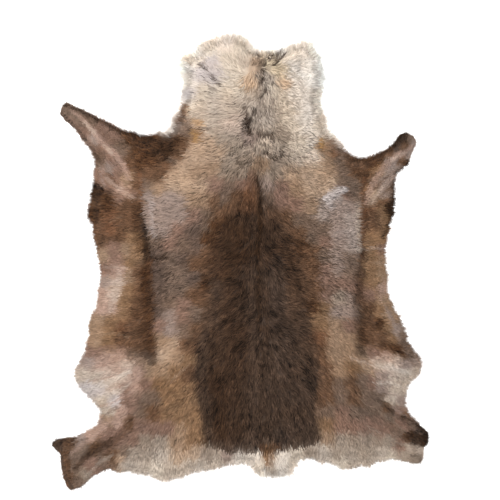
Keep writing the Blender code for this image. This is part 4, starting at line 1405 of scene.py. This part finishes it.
@dataclass
class Skin:
    """The tanned skin itself, a thin sheet that lies flat, suede side down."""

    coat: Coat
    thickness: float = 2.0 * MM
    step: float = 10 * MM
    flat_width: float = 1.03
    flat_length: float = 1.25

    def build(self) -> tuple[bpy.types.Object, float]:
        """Build and dress the skin.

        Returns:
            The piece and its flat area in square metres.
        """
        points, quads = plan_cells(self.coat.skin, self.step)
        mesh = closed_slab("tanned_skin", points, quads, np.full(len(points), self.thickness), 0.0)
        mesh.shade_smooth()
        mesh.set_sharp_from_angle(angle=math.radians(40))
        a, b, c, d = (points[quads[:, k]] for k in range(4))
        ac, bd = c - a, d - b
        area = 0.5 * np.abs(ac[:, 0] * bd[:, 1] - ac[:, 1] * bd[:, 0]).sum()
        return add_piece("tanned_skin", mesh, SuedeFinish().material()), float(area)


@dataclass
class Undercoat:
    """The dense woolly undercoat, in the solid's form, which carries the locks.

    Attributes:
        sunk: How far it lies under the solid's top, where the locks then lie.
        share: Its height as a share of the solid's.
        spread: How much of the hair's overhang it takes past the skin's edge.
        base: Height of its underside, just over the skin.
        lip: Its thickness at its edge.
        body: Its least thickness inside it.
        thinnest: Its least thickness anywhere, under a ripple.
        slope: Width of the strip over which it rises to its full height.
        ripples: The waves on it.
        calm: Width of the strip at its edge over which they start.
    """

    form: HideForm
    coat: Coat
    step: float = 7 * MM
    sunk: float = 2.0 * MM
    share: float = 0.9
    spread: float = 0.55
    base: float = 2.1 * MM
    lip: float = 0.3 * MM
    body: float = 0.4 * MM
    thinnest: float = 0.2 * MM
    slope: float = 22 * MM
    ripples: tuple[Waves, ...] = (Waves(1.2 * MM, 11 * MM, 31), Waves(0.6 * MM, 5 * MM, 32))
    calm: float = 10 * MM
    surface: PlanField = field(init=False)
    plan: PlanField = field(init=False)

    def __post_init__(self) -> None:
        """Work out its plan and its top over the whole plan, 0 on the floor beside it."""
        skin, inside = self.coat.skin, self.form.inside
        mix = self.spread * inside.values + (1 - self.spread) * skin.values
        self.plan = PlanField(inside.low, inside.step, mix)
        full = np.maximum(self.form.top.values * self.share - self.sunk, self.base + self.body)
        height = self.base + self.lip + (full - self.base - self.lip) * smoothstep(mix, 0.0, self.slope)
        self.surface = PlanField(inside.low, inside.step, np.where(mix > 0, height, 0.0))

    def build(self) -> bpy.types.Object:
        """Build and dress the undercoat."""
        points, quads = plan_cells(self.plan, self.step)
        ripple = sum(waves.at(points) for waves in self.ripples)
        ripple *= smoothstep(self.plan.at(points), 0.0, self.calm)
        top = np.maximum(self.surface.at(points), self.base + self.lip) + ripple
        mesh = closed_slab("undercoat", points, quads, np.maximum(top, self.base + self.thinnest), self.base)
        places = np.empty(len(mesh.vertices) * 3, dtype=np.float32)
        mesh.vertices.foreach_get("co", places)
        paint(mesh, "coat", self.coat.colour(places.reshape(-1, 3)[:, :2].astype(float)))
        return add_piece("undercoat", mesh, UndercoatFinish().material())


@dataclass(frozen=True)
class Growth:
    """How the locks of one kind grow. A pair of numbers is for sleek and for shaggy hair.

    Attributes:
        spacing: From one root to the next.
        tuft: Width of the tufts that the locks gather in.
        width: A lock's width where it is widest.
        rings: Sections along a lock, before its tip.
        lift: How high the tips stand over the undercoat.
        length: How long a lock is, as a share of the hair's length there.
        stray: By how many degrees single locks stray from the lie.
        swing: Through how many degrees whole tufts swing.
        gather: How far a lock leans towards the middle of its tuft.
        bend: How far it bends aside, as a share of its length.
        turn: How strongly hair turns outwards near the rim.
        root_depth: How deep in the undercoat the roots start.
    """

    spacing: float
    tuft: float
    width: float
    rings: int
    lift: tuple[float, float]
    length: float = 1.0
    stray: tuple[float, float] = (5.0, 19.0)
    swing: tuple[float, float] = (14.0, 70.0)
    gather: tuple[float, float] = (0.25, 0.7)
    bend: tuple[float, float] = (0.05, 0.18)
    turn: float = 1.1
    root_depth: float = 2.5 * MM


@dataclass
class LockBed:
    """A stretch of coat: locks of hair rooted over part of the skin, each a closed tapering body.

    Attributes:
        name: The piece's name.
        south: The lowest y that its roots stand at, in metres.
        north: The highest.
        seed: Picks its random numbers.
        outward: How far from the rim hair starts to turn outwards.
        reach_past: How far past the rim's line the longest tips go.
        painted_glow: How much brighter than the coat its colour is painted where it is long, as painted
            light that stands in for light coming through the hair.
        painted_glow_from: The hair's length where that starts, and where it is in full.
        seen: How far along a lock the middle of its uncovered part is, where its colour is read.
        lit_from: Where between a root's dark shade and a tip's pale one the locks start.
        taper: A lock's width at its last sections before the tip, as a share of its widest.
        crest: Its height over half its width, on shaggy and on sleek hair.
        stripes: How much the grain, the sweep and the clumps change a lock's tone, on both.
        chance: How much its tone is left to chance.
        smudge: How far aside a lock's colour may be read.
        ticked_mix: How much of the coat's colour, and of soot, a dark lock takes.
        palest: The most that any part of its colour gets to.
    """

    name: str
    form: HideForm
    coat: Coat
    under: Undercoat
    growth: Growth
    south: float
    north: float
    seed: int
    outward: float = 26 * MM
    reach_past: float = 3 * MM
    painted_glow: float = 1.0
    painted_glow_from: tuple[float, float] = (14 * MM, 36 * MM)
    seen: float = 0.7
    lit_from: float = 0.0
    taper: tuple[float, ...] = (0.85, 1.0)
    crest: tuple[float, float] = (0.55, 0.28)
    stripes: tuple = ((0.14, 0.18), (0.2, 0.32), (0.22, 0.14))
    chance: float = 0.1
    smudge: float = 2 * MM
    ticked_mix: tuple[float, float] = (0.35, 0.25)
    palest: float = 0.94

    def roots(self, rng: np.random.Generator) -> np.ndarray:
        """Staggered rows of roots over the skin, each moved a little at random, sorted for the map."""
        low, high = self.form.inside.low, -self.form.inside.low
        spacing = self.growth.spacing
        x, y = np.meshgrid(np.arange(low[0], high[0], spacing),
                           np.arange(self.south, self.north, spacing * math.sqrt(3) / 2))
        x[1::2] += spacing / 2
        places = np.column_stack([x.ravel(), y.ravel()])
        places += rng.uniform(-0.5, 0.5, places.shape) * spacing
        places = places[self.coat.skin.at(places) > 0.5 * MM]
        side = math.ceil(math.sqrt(len(places)))
        row = np.empty(len(places), dtype=int)
        row[np.argsort(places[:, 1], kind="stable")] = np.arange(len(places)) // side
        return places[np.lexsort((places[:, 0], row))]

    def tufts(self, places: np.ndarray) -> tuple[np.ndarray, np.ndarray]:
        """The middle of the tuft that each root belongs to, and one random number for each tuft."""
        size = self.growth.tuft
        cell = np.floor(places / size)
        middle, nearest, number = np.zeros_like(places), np.full(len(places), np.inf), np.zeros(len(places))
        for i in (-1, 0, 1):
            for j in (-1, 0, 1):
                other = cell + (i, j)
                moved = np.column_stack([hashed(other, self.seed), hashed(other, self.seed + 1)]) - 0.5
                centre = (other + 0.5 + 0.8 * moved) * size
                away = np.linalg.norm(places - centre, axis=1)
                closer = away < nearest
                middle[closer], nearest[closer] = centre[closer], away[closer]
                number[closer] = hashed(other, self.seed + 2)[closer]
        return middle, number

    def headings(self, roots: np.ndarray, number: np.ndarray, rng: np.random.Generator) -> np.ndarray:
        """Where each lock points: along the lie, outwards near the rim, swung by its tuft and by chance."""
        heading, length, shag = self.coat.lie(roots)
        rim = -self.form.inside.slope(roots)
        turn = 1 - smoothstep(self.form.inside.at(roots), 4 * MM, self.outward + 0.4 * length)
        x, y = (heading + self.growth.turn * turn[:, None] * rim).T
        stray = rng.normal(0, from_to(self.growth.stray, shag))
        swing = np.radians(stray + (number - 0.5) * from_to(self.growth.swing, shag))
        cos, sin = np.cos(swing), np.sin(swing)
        return unit(np.column_stack([x * cos - y * sin, x * sin + y * cos]))

    def shortened(self, starts: np.ndarray, heading: np.ndarray, length: np.ndarray,
                  rng: np.random.Generator) -> np.ndarray:
        """The locks' lengths, cut where a tip would go too far past the rim, at an uneven line."""
        for _ in range(4):
            past = -self.form.inside.at(starts + heading * length[:, None])
            limit = self.reach_past * rng.uniform(-1.5, 1.0, len(starts))
            length = np.where(past > limit, length - (past - limit) * 0.9, length)
            length = np.maximum(length, 4 * MM)
        return length

    def paths(self, roots: np.ndarray, rng: np.random.Generator) -> tuple[np.ndarray, np.ndarray, np.ndarray]:
        """The line that each lock follows.

        It starts in the undercoat, runs along the lie of the coat, leans to its tuft's middle, bends to
        one side, and rides over the undercoat's surface or down to the floor past the rim.

        Returns:
            Points for each lock and section, each lock's width, and its tuft's random number.
        """
        growth, count = self.growth, len(roots)
        length, shag = self.coat.lie(roots)[1:]
        middle, number = self.tufts(roots)
        heading = self.headings(roots, number, rng)
        side = np.column_stack([-heading[:, 1], heading[:, 0]])
        length = length * growth.length * rng.uniform(0.7, 1.15, count)
        lean = from_to(growth.gather, shag)[:, None] * (middle - roots)
        bend = rng.normal(0, from_to(growth.bend, shag)) * length
        length = self.shortened(roots + lean, heading, length, rng)
        lift = from_to(growth.lift, shag) * rng.uniform(0.3, 1.3, count)
        points = []
        for u in np.linspace(0.0, 1.0, growth.rings + 1):
            plan = roots + lean * u**1.5 + heading * (length * u)[:, None] + side * (bend * u * u)[:, None]
            height = self.under.surface.at(plan) - growth.root_depth * max(0.0, 1 - 3 * u)
            height += lift * math.sin(0.5 * math.pi * min(1.0, 1.3 * u))
            points.append(np.column_stack([plan, np.maximum(height, 0.9 * MM)]))
        width = growth.width * rng.uniform(0.7, 1.3, count)
        return np.stack(points, axis=1), np.minimum(width, 0.3 * length), number

    def sleek(self, places: np.ndarray) -> np.ndarray:
        """How sleek the coat is at each place, from 0 where it is shaggy to 1."""
        return 1 - smoothstep(self.coat.lie(places)[2], 0.15, 0.5)

    def bodies(self, roots: np.ndarray, path: np.ndarray, width: np.ndarray) -> np.ndarray:
        """Each lock's corners: left, crest and right of every section, and then the tip."""
        rings = self.growth.rings
        run = np.gradient(path[:, :, :2], axis=1)
        side = unit(np.stack([-run[..., 1], run[..., 0]], axis=-1))
        half = 0.5 * width[:, None] * np.array(self.taper[-rings:])
        shift = side[:, :rings] * half[..., None]
        rise = (from_to(self.crest, self.sleek(roots))[:, None] * half)[..., None]
        left, crest, right = (path[:, :rings] + np.concatenate(part, axis=-1) for part in (
            [shift, -0.6 * rise], [np.zeros_like(shift), rise], [-shift, -0.6 * rise]))
        sections = np.stack([left, crest, right], axis=2).reshape(len(roots), 3 * rings, 3)
        places = np.concatenate([sections, path[:, rings:]], axis=1)
        places[..., 2] = np.maximum(places[..., 2], 0.25 * MM)
        return places

    def mesh(self, places: np.ndarray) -> bpy.types.Mesh:
        """The locks' mesh. Its map has a cell for each lock's faces, in the order of the roots."""
        count, per_lock = places.shape[:2]
        corners, cell = self.lock_faces(self.growth.rings)
        triangles = (corners[None] + per_lock * np.arange(count)[:, None, None]).reshape(-1, 3)
        mesh = triangle_mesh(self.name, places.reshape(-1, 3), triangles)
        cells = math.ceil(math.sqrt(count))
        spot = np.stack([np.arange(count) % cells, np.arange(count) // cells], axis=1)
        layer = mesh.uv_layers.new(name="OFBake")
        layer.data.foreach_set("uv", ((spot[:, None, None] + cell[None]) / cells).astype(np.float32).ravel())
        return mesh

    def colours(self, roots: np.ndarray, path: np.ndarray, rng: np.random.Generator) -> np.ndarray:
        """Each lock's colour: the coat's where the lock shows, or dark in a ticked place."""
        shown = (1 - self.seen) * path[:, 0, :2] + self.seen * path[:, -1, :2]
        colour = self.coat.colour(shown + self.smudge * rng.normal(0, 1, roots.shape))
        dark = rng.uniform(0, 1, len(roots)) < self.coat.ticked(shown)
        coat, soot = self.ticked_mix
        colour = np.where(dark[:, None], colour * coat + soot * Tint.SOOT.linear(), colour)
        # painted light: long hair's colour is raised, standing in for light that comes through it
        painted_glow = 1 + (self.painted_glow - 1) * smoothstep(self.coat.lie(roots)[1], *self.painted_glow_from)
        return np.minimum(colour * painted_glow[:, None], self.palest)

    def build(self, material: bpy.types.Material) -> bpy.types.Object:
        """Build and dress the locks: the coat's colour, and the four numbers that their finish reads.

        Each lock has a three-sided section, widest before its tip, and a closed root. The numbers are
        how far along the lock a corner is, its tuft's number, the lock's tone and how far across.
        """
        rng = np.random.default_rng(self.seed)
        roots = self.roots(rng)
        path, width, number = self.paths(roots, rng)
        places = self.bodies(roots, path, width)
        mesh = self.mesh(places)
        count, per_lock = places.shape[:2]
        paint(mesh, "coat", np.repeat(self.colours(roots, path, rng), per_lock, axis=0))
        rings, sleek = self.growth.rings, self.sleek(roots)
        along = self.lit_from + (1 - self.lit_from) * np.append(np.repeat(np.arange(rings) / rings, 3), 1.0)
        across = np.append(np.tile([0.0, 0.5, 1.0], rings), 0.5)
        tone = 0.5 + self.chance * rng.normal(0, 1, count)
        for pair, stripes in zip(self.stripes, (self.coat.grain, self.coat.sweep, self.coat.clump)):
            tone += from_to(pair, sleek) * stripes.at(roots)
        tone = np.clip(tone, 0, 1)
        strand = np.stack([np.tile(along, (count, 1)), np.repeat(number[:, None], per_lock, 1),
                           np.repeat(tone[:, None], per_lock, 1), np.tile(across, (count, 1))], axis=-1)
        paint(mesh, "strand", strand.reshape(-1, 4))
        return add_piece(self.name, mesh, material)

    @staticmethod
    def lock_faces(rings: int) -> tuple[np.ndarray, np.ndarray]:
        """One lock's triangles, and each corner's place in the lock's own cell of the map."""
        seam, foot, run = [0.06, 0.37, 0.68, 0.94], 0.2, 0.74
        faces, spots = [], []
        for ring in range(rings):
            v0, v1 = foot + run * ring / rings, foot + run * (ring + 1) / rings
            for k in range(3):
                a, b = 3 * ring + k, 3 * ring + (k + 1) % 3
                u0, u1 = seam[k], seam[k + 1]
                if ring == rings - 1:
                    faces.append((b, a, 3 * rings))
                    spots.append(((u1, v0), (u0, v0), ((u0 + u1) / 2, v1)))
                else:
                    faces += [(b, a, a + 3), (b, a + 3, b + 3)]
                    spots += [((u1, v0), (u0, v0), (u0, v1)), ((u1, v0), (u0, v1), (u1, v1))]
        faces.append((0, 1, 2))
        spots.append(((0.1, 0.04), (0.9, 0.04), (0.5, 0.14)))
        return np.array(faces), np.array(spots)


@dataclass
class Fringe(LockBed):
    """Fine single wisps along the rim, which soften its line.

    Attributes:
        count: How many places are tried for a root.
        band: Width of the strip inside the undercoat's edge that they are rooted in.
        dense_from: The hair's length where as many places as possible are kept.
        thinnest: The share that is kept where the hair is shortest.
        lie_share: How much a wisp follows the lie and not only the way out.
        scatter: How much its heading is left to chance, on sleek and on shaggy hair.
        reach_least: How far the longest pass the rim where the hair has next to no length.
        reach_share: How much further they go, as a share of the hair's length.
        painted_brightening: How far the wisps of long hair go towards the lightest tone, as painted light
        that lifts the shade on them.
    """

    count: int = 800000
    band: float = 9 * MM
    dense_from: float = 32 * MM
    thinnest: float = 0.25
    lie_share: float = 0.45
    scatter: tuple[float, float] = (0.25, 0.55)
    reach_least: float = 6 * MM
    reach_share: float = 0.26
    painted_brightening: float = 0.6

    def roots(self, rng: np.random.Generator) -> np.ndarray:
        """Random places in the strip, more of them where the hair is long."""
        plan = self.under.plan
        low, high = plan.low, plan.low + np.array(plan.values.shape[::-1]) * plan.step
        tries = rng.uniform(low, high, (self.count, 2))
        away = plan.at(tries)
        tries = tries[(away > 0) & (away < self.band)]
        share = np.clip(self.coat.lie(tries)[1] / self.dense_from, self.thinnest, 1.0)
        return tries[rng.uniform(0, 1, len(tries)) < share]

    def paths(self, roots: np.ndarray, rng: np.random.Generator) -> tuple[np.ndarray, np.ndarray, np.ndarray]:
        """Each wisp runs outwards, more or less along the lie, and sinks to the floor."""
        count, inside = len(roots), self.form.inside
        heading, length, shag = self.coat.lie(roots)
        rim = unit(-inside.slope(roots))
        heading = rim + self.lie_share * heading
        heading = unit(heading + from_to(self.scatter, shag)[:, None] * rng.normal(0, 1, roots.shape))
        past = (self.reach_least + self.reach_share * length) * rng.uniform(0, 1, count) ** 1.4
        run = (inside.at(roots) + past) / np.maximum((heading * rim).sum(axis=1), 0.45)
        run -= np.maximum(-inside.at(roots + heading * run[:, None]) - past, 0.0)
        height = rng.uniform(0.25, 0.9, count) * np.maximum(self.under.surface.at(roots), 3 * MM)
        low = rng.uniform(0.3, 0.9, count) * height + 0.5 * MM
        start, tip = np.column_stack([roots, height]), np.column_stack([roots + heading * run[:, None], low])
        width = self.growth.width * rng.uniform(0.5, 1.2, count)
        tone = rng.uniform(0, 1, count)
        # painted light: wisps of long hair are pushed towards the lightest tone to lift the shade on them
        tone += (1 - tone) * self.painted_brightening * smoothstep(length, *LONG_HAIR)
        return np.stack([start, tip], axis=1), width, tone


@dataclass
class Studio:
    """A plain white floor, soft light from the upper left and a camera straight above.

    Attributes:
        height: The camera's height over the floor.
        level: The height at which the width seen counts.
        width_seen: How wide a strip the picture takes in there.
        centre: The plan's point at the middle of the picture.
        sensor: The width of the camera's sensor, in millimetres.
        floor_glow: How brightly the floor is lit from below.
        surround: The strength of the white surround.
        lamp: The lamp's strength.
        lamp_size: Its diameter.
        lamp_place: Where it hangs.
    """

    height: float = 3.2
    level: float = 0.025
    width_seen: float = 1.3675
    centre: tuple[float, float] = (0.0265, 0.0315)
    sensor: float = 36.0
    floor_glow: float = 0.35
    surround: float = 1.12 * EXPOSURE
    lamp: float = 76.0 * EXPOSURE
    lamp_size: float = 2.2
    lamp_place: tuple[float, float, float] = (-2.0, 1.7, 2.5)

    def build(self) -> None:
        """Make the floor, the lights and the camera."""
        self.floor()
        self.lights()
        data = bpy.data.cameras.new("camera")
        data.sensor_width = self.sensor
        data.lens = self.sensor * (self.height - self.level) / self.width_seen
        camera = bpy.data.objects.new("camera", data)
        camera.location = (*self.centre, self.height)
        bpy.context.scene.collection.objects.link(camera)
        bpy.context.scene.camera = camera
        bpy.context.scene.view_settings.view_transform = "Standard"

    def floor(self) -> None:
        """A wide white floor, barely mottled, lit a little from below as on a light table."""
        bpy.ops.mesh.primitive_plane_add(size=14.0, location=(0, 0, -0.0004))
        plane = bpy.context.object
        plane.name = "studio_floor"
        tree, shader, material = new_material("floor_paper")
        place = node(tree, "ShaderNodeTexCoord", None, None, "Object")
        cloud = noise(place, 3.0, 2.0)
        tone = mixed((0.93, 0.93, 0.93, 1.0), (0.95, 0.95, 0.95, 1.0), cloud, tree)
        tree.links.new(tone.socket, shader.inputs["Base Color"])
        for name, value in (("Roughness", 0.9), ("Specular IOR Level", 0.1),
                            ("Emission Color", (1.0, 1.0, 1.0, 1.0)), ("Emission Strength", self.floor_glow)):
            shader.inputs[name].default_value = value
        plane.data.materials.append(material)

    def lights(self) -> None:
        """An even white surround, and one wide soft lamp from the upper left."""
        world = bpy.data.worlds.new("surround")
        world.use_nodes = True
        bpy.context.scene.world = world
        sky = world.node_tree.nodes["Background"]
        sky.inputs["Color"].default_value = (1.0, 1.0, 1.0, 1.0)
        sky.inputs["Strength"].default_value = self.surround
        data = bpy.data.lights.new("soft_lamp", "AREA")
        data.shape, data.size, data.energy = "DISK", self.lamp_size, self.lamp
        data.color = (1.0, 0.985, 0.965)
        lamp = bpy.data.objects.new("soft_lamp", data)
        lamp.location = self.lamp_place
        lamp.rotation_mode = "QUATERNION"
        lamp.rotation_quaternion = (Vector((0.1, 0.0, 0.0)) - lamp.location).to_track_quat("-Z", "Y")
        bpy.context.scene.collection.objects.link(lamp)


BODY_GROWTH = Growth(spacing=3.5 * MM, tuft=11 * MM, width=2.4 * MM, rings=2, lift=(1.2 * MM, 4.0 * MM))
NECK_GROWTH = Growth(spacing=3.1 * MM, tuft=14 * MM, width=2.4 * MM, rings=2, lift=(1.6 * MM, 5.0 * MM),
                     length=0.72)
WISP_GROWTH = Growth(spacing=3 * MM, tuft=14 * MM, width=1.2 * MM, rings=1, lift=(0.0, 0.0))


def main() -> None:
    """Build the pieces in order and report the skin and the undercoat."""
    logging.basicConfig(level=logging.INFO, format="%(name)s: %(message)s")
    form = HideForm()
    coat = Coat(form)
    skin, area = Skin(coat).build()
    log.info("%s: %.3f square metres, %d faces", skin.name, area, len(skin.data.polygons))
    under = Undercoat(form, coat)
    wool = under.build()
    log.info("%s: %d faces", wool.name, len(wool.data.polygons))
    material = HairFinish().material()
    stretches = (
        ("neck_hair", NECK_GROWTH, 0.262, 0.68, 101),
        ("shoulder_hair", BODY_GROWTH, 0.075, 0.262, 202),
        ("back_hair", BODY_GROWTH, -0.115, 0.075, 303),
        ("flank_hair", BODY_GROWTH, -0.30, -0.115, 404),
        ("thigh_hair", BODY_GROWTH, -0.42, -0.30, 505),
        ("rump_hair", BODY_GROWTH, -0.68, -0.42, 606),
    )
    for name, growth, south, north, seed in stretches:
        # painted light: long hair in the beds is painted a little brighter
        bed = LockBed(name, form, coat, under, growth, south, north, seed, painted_glow=1.12)
        bed.build(material)
    # painted light: the wisps of long hair are painted brighter still
    wisps = Fringe("fringe_hair", form, coat, under, WISP_GROWTH, -0.68, 0.68, 707,
                   painted_glow=1.5, lit_from=0.6)
    wisps.build(material)
    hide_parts(NODE)
    Studio().build()


if __name__ == "__main__":
    main()
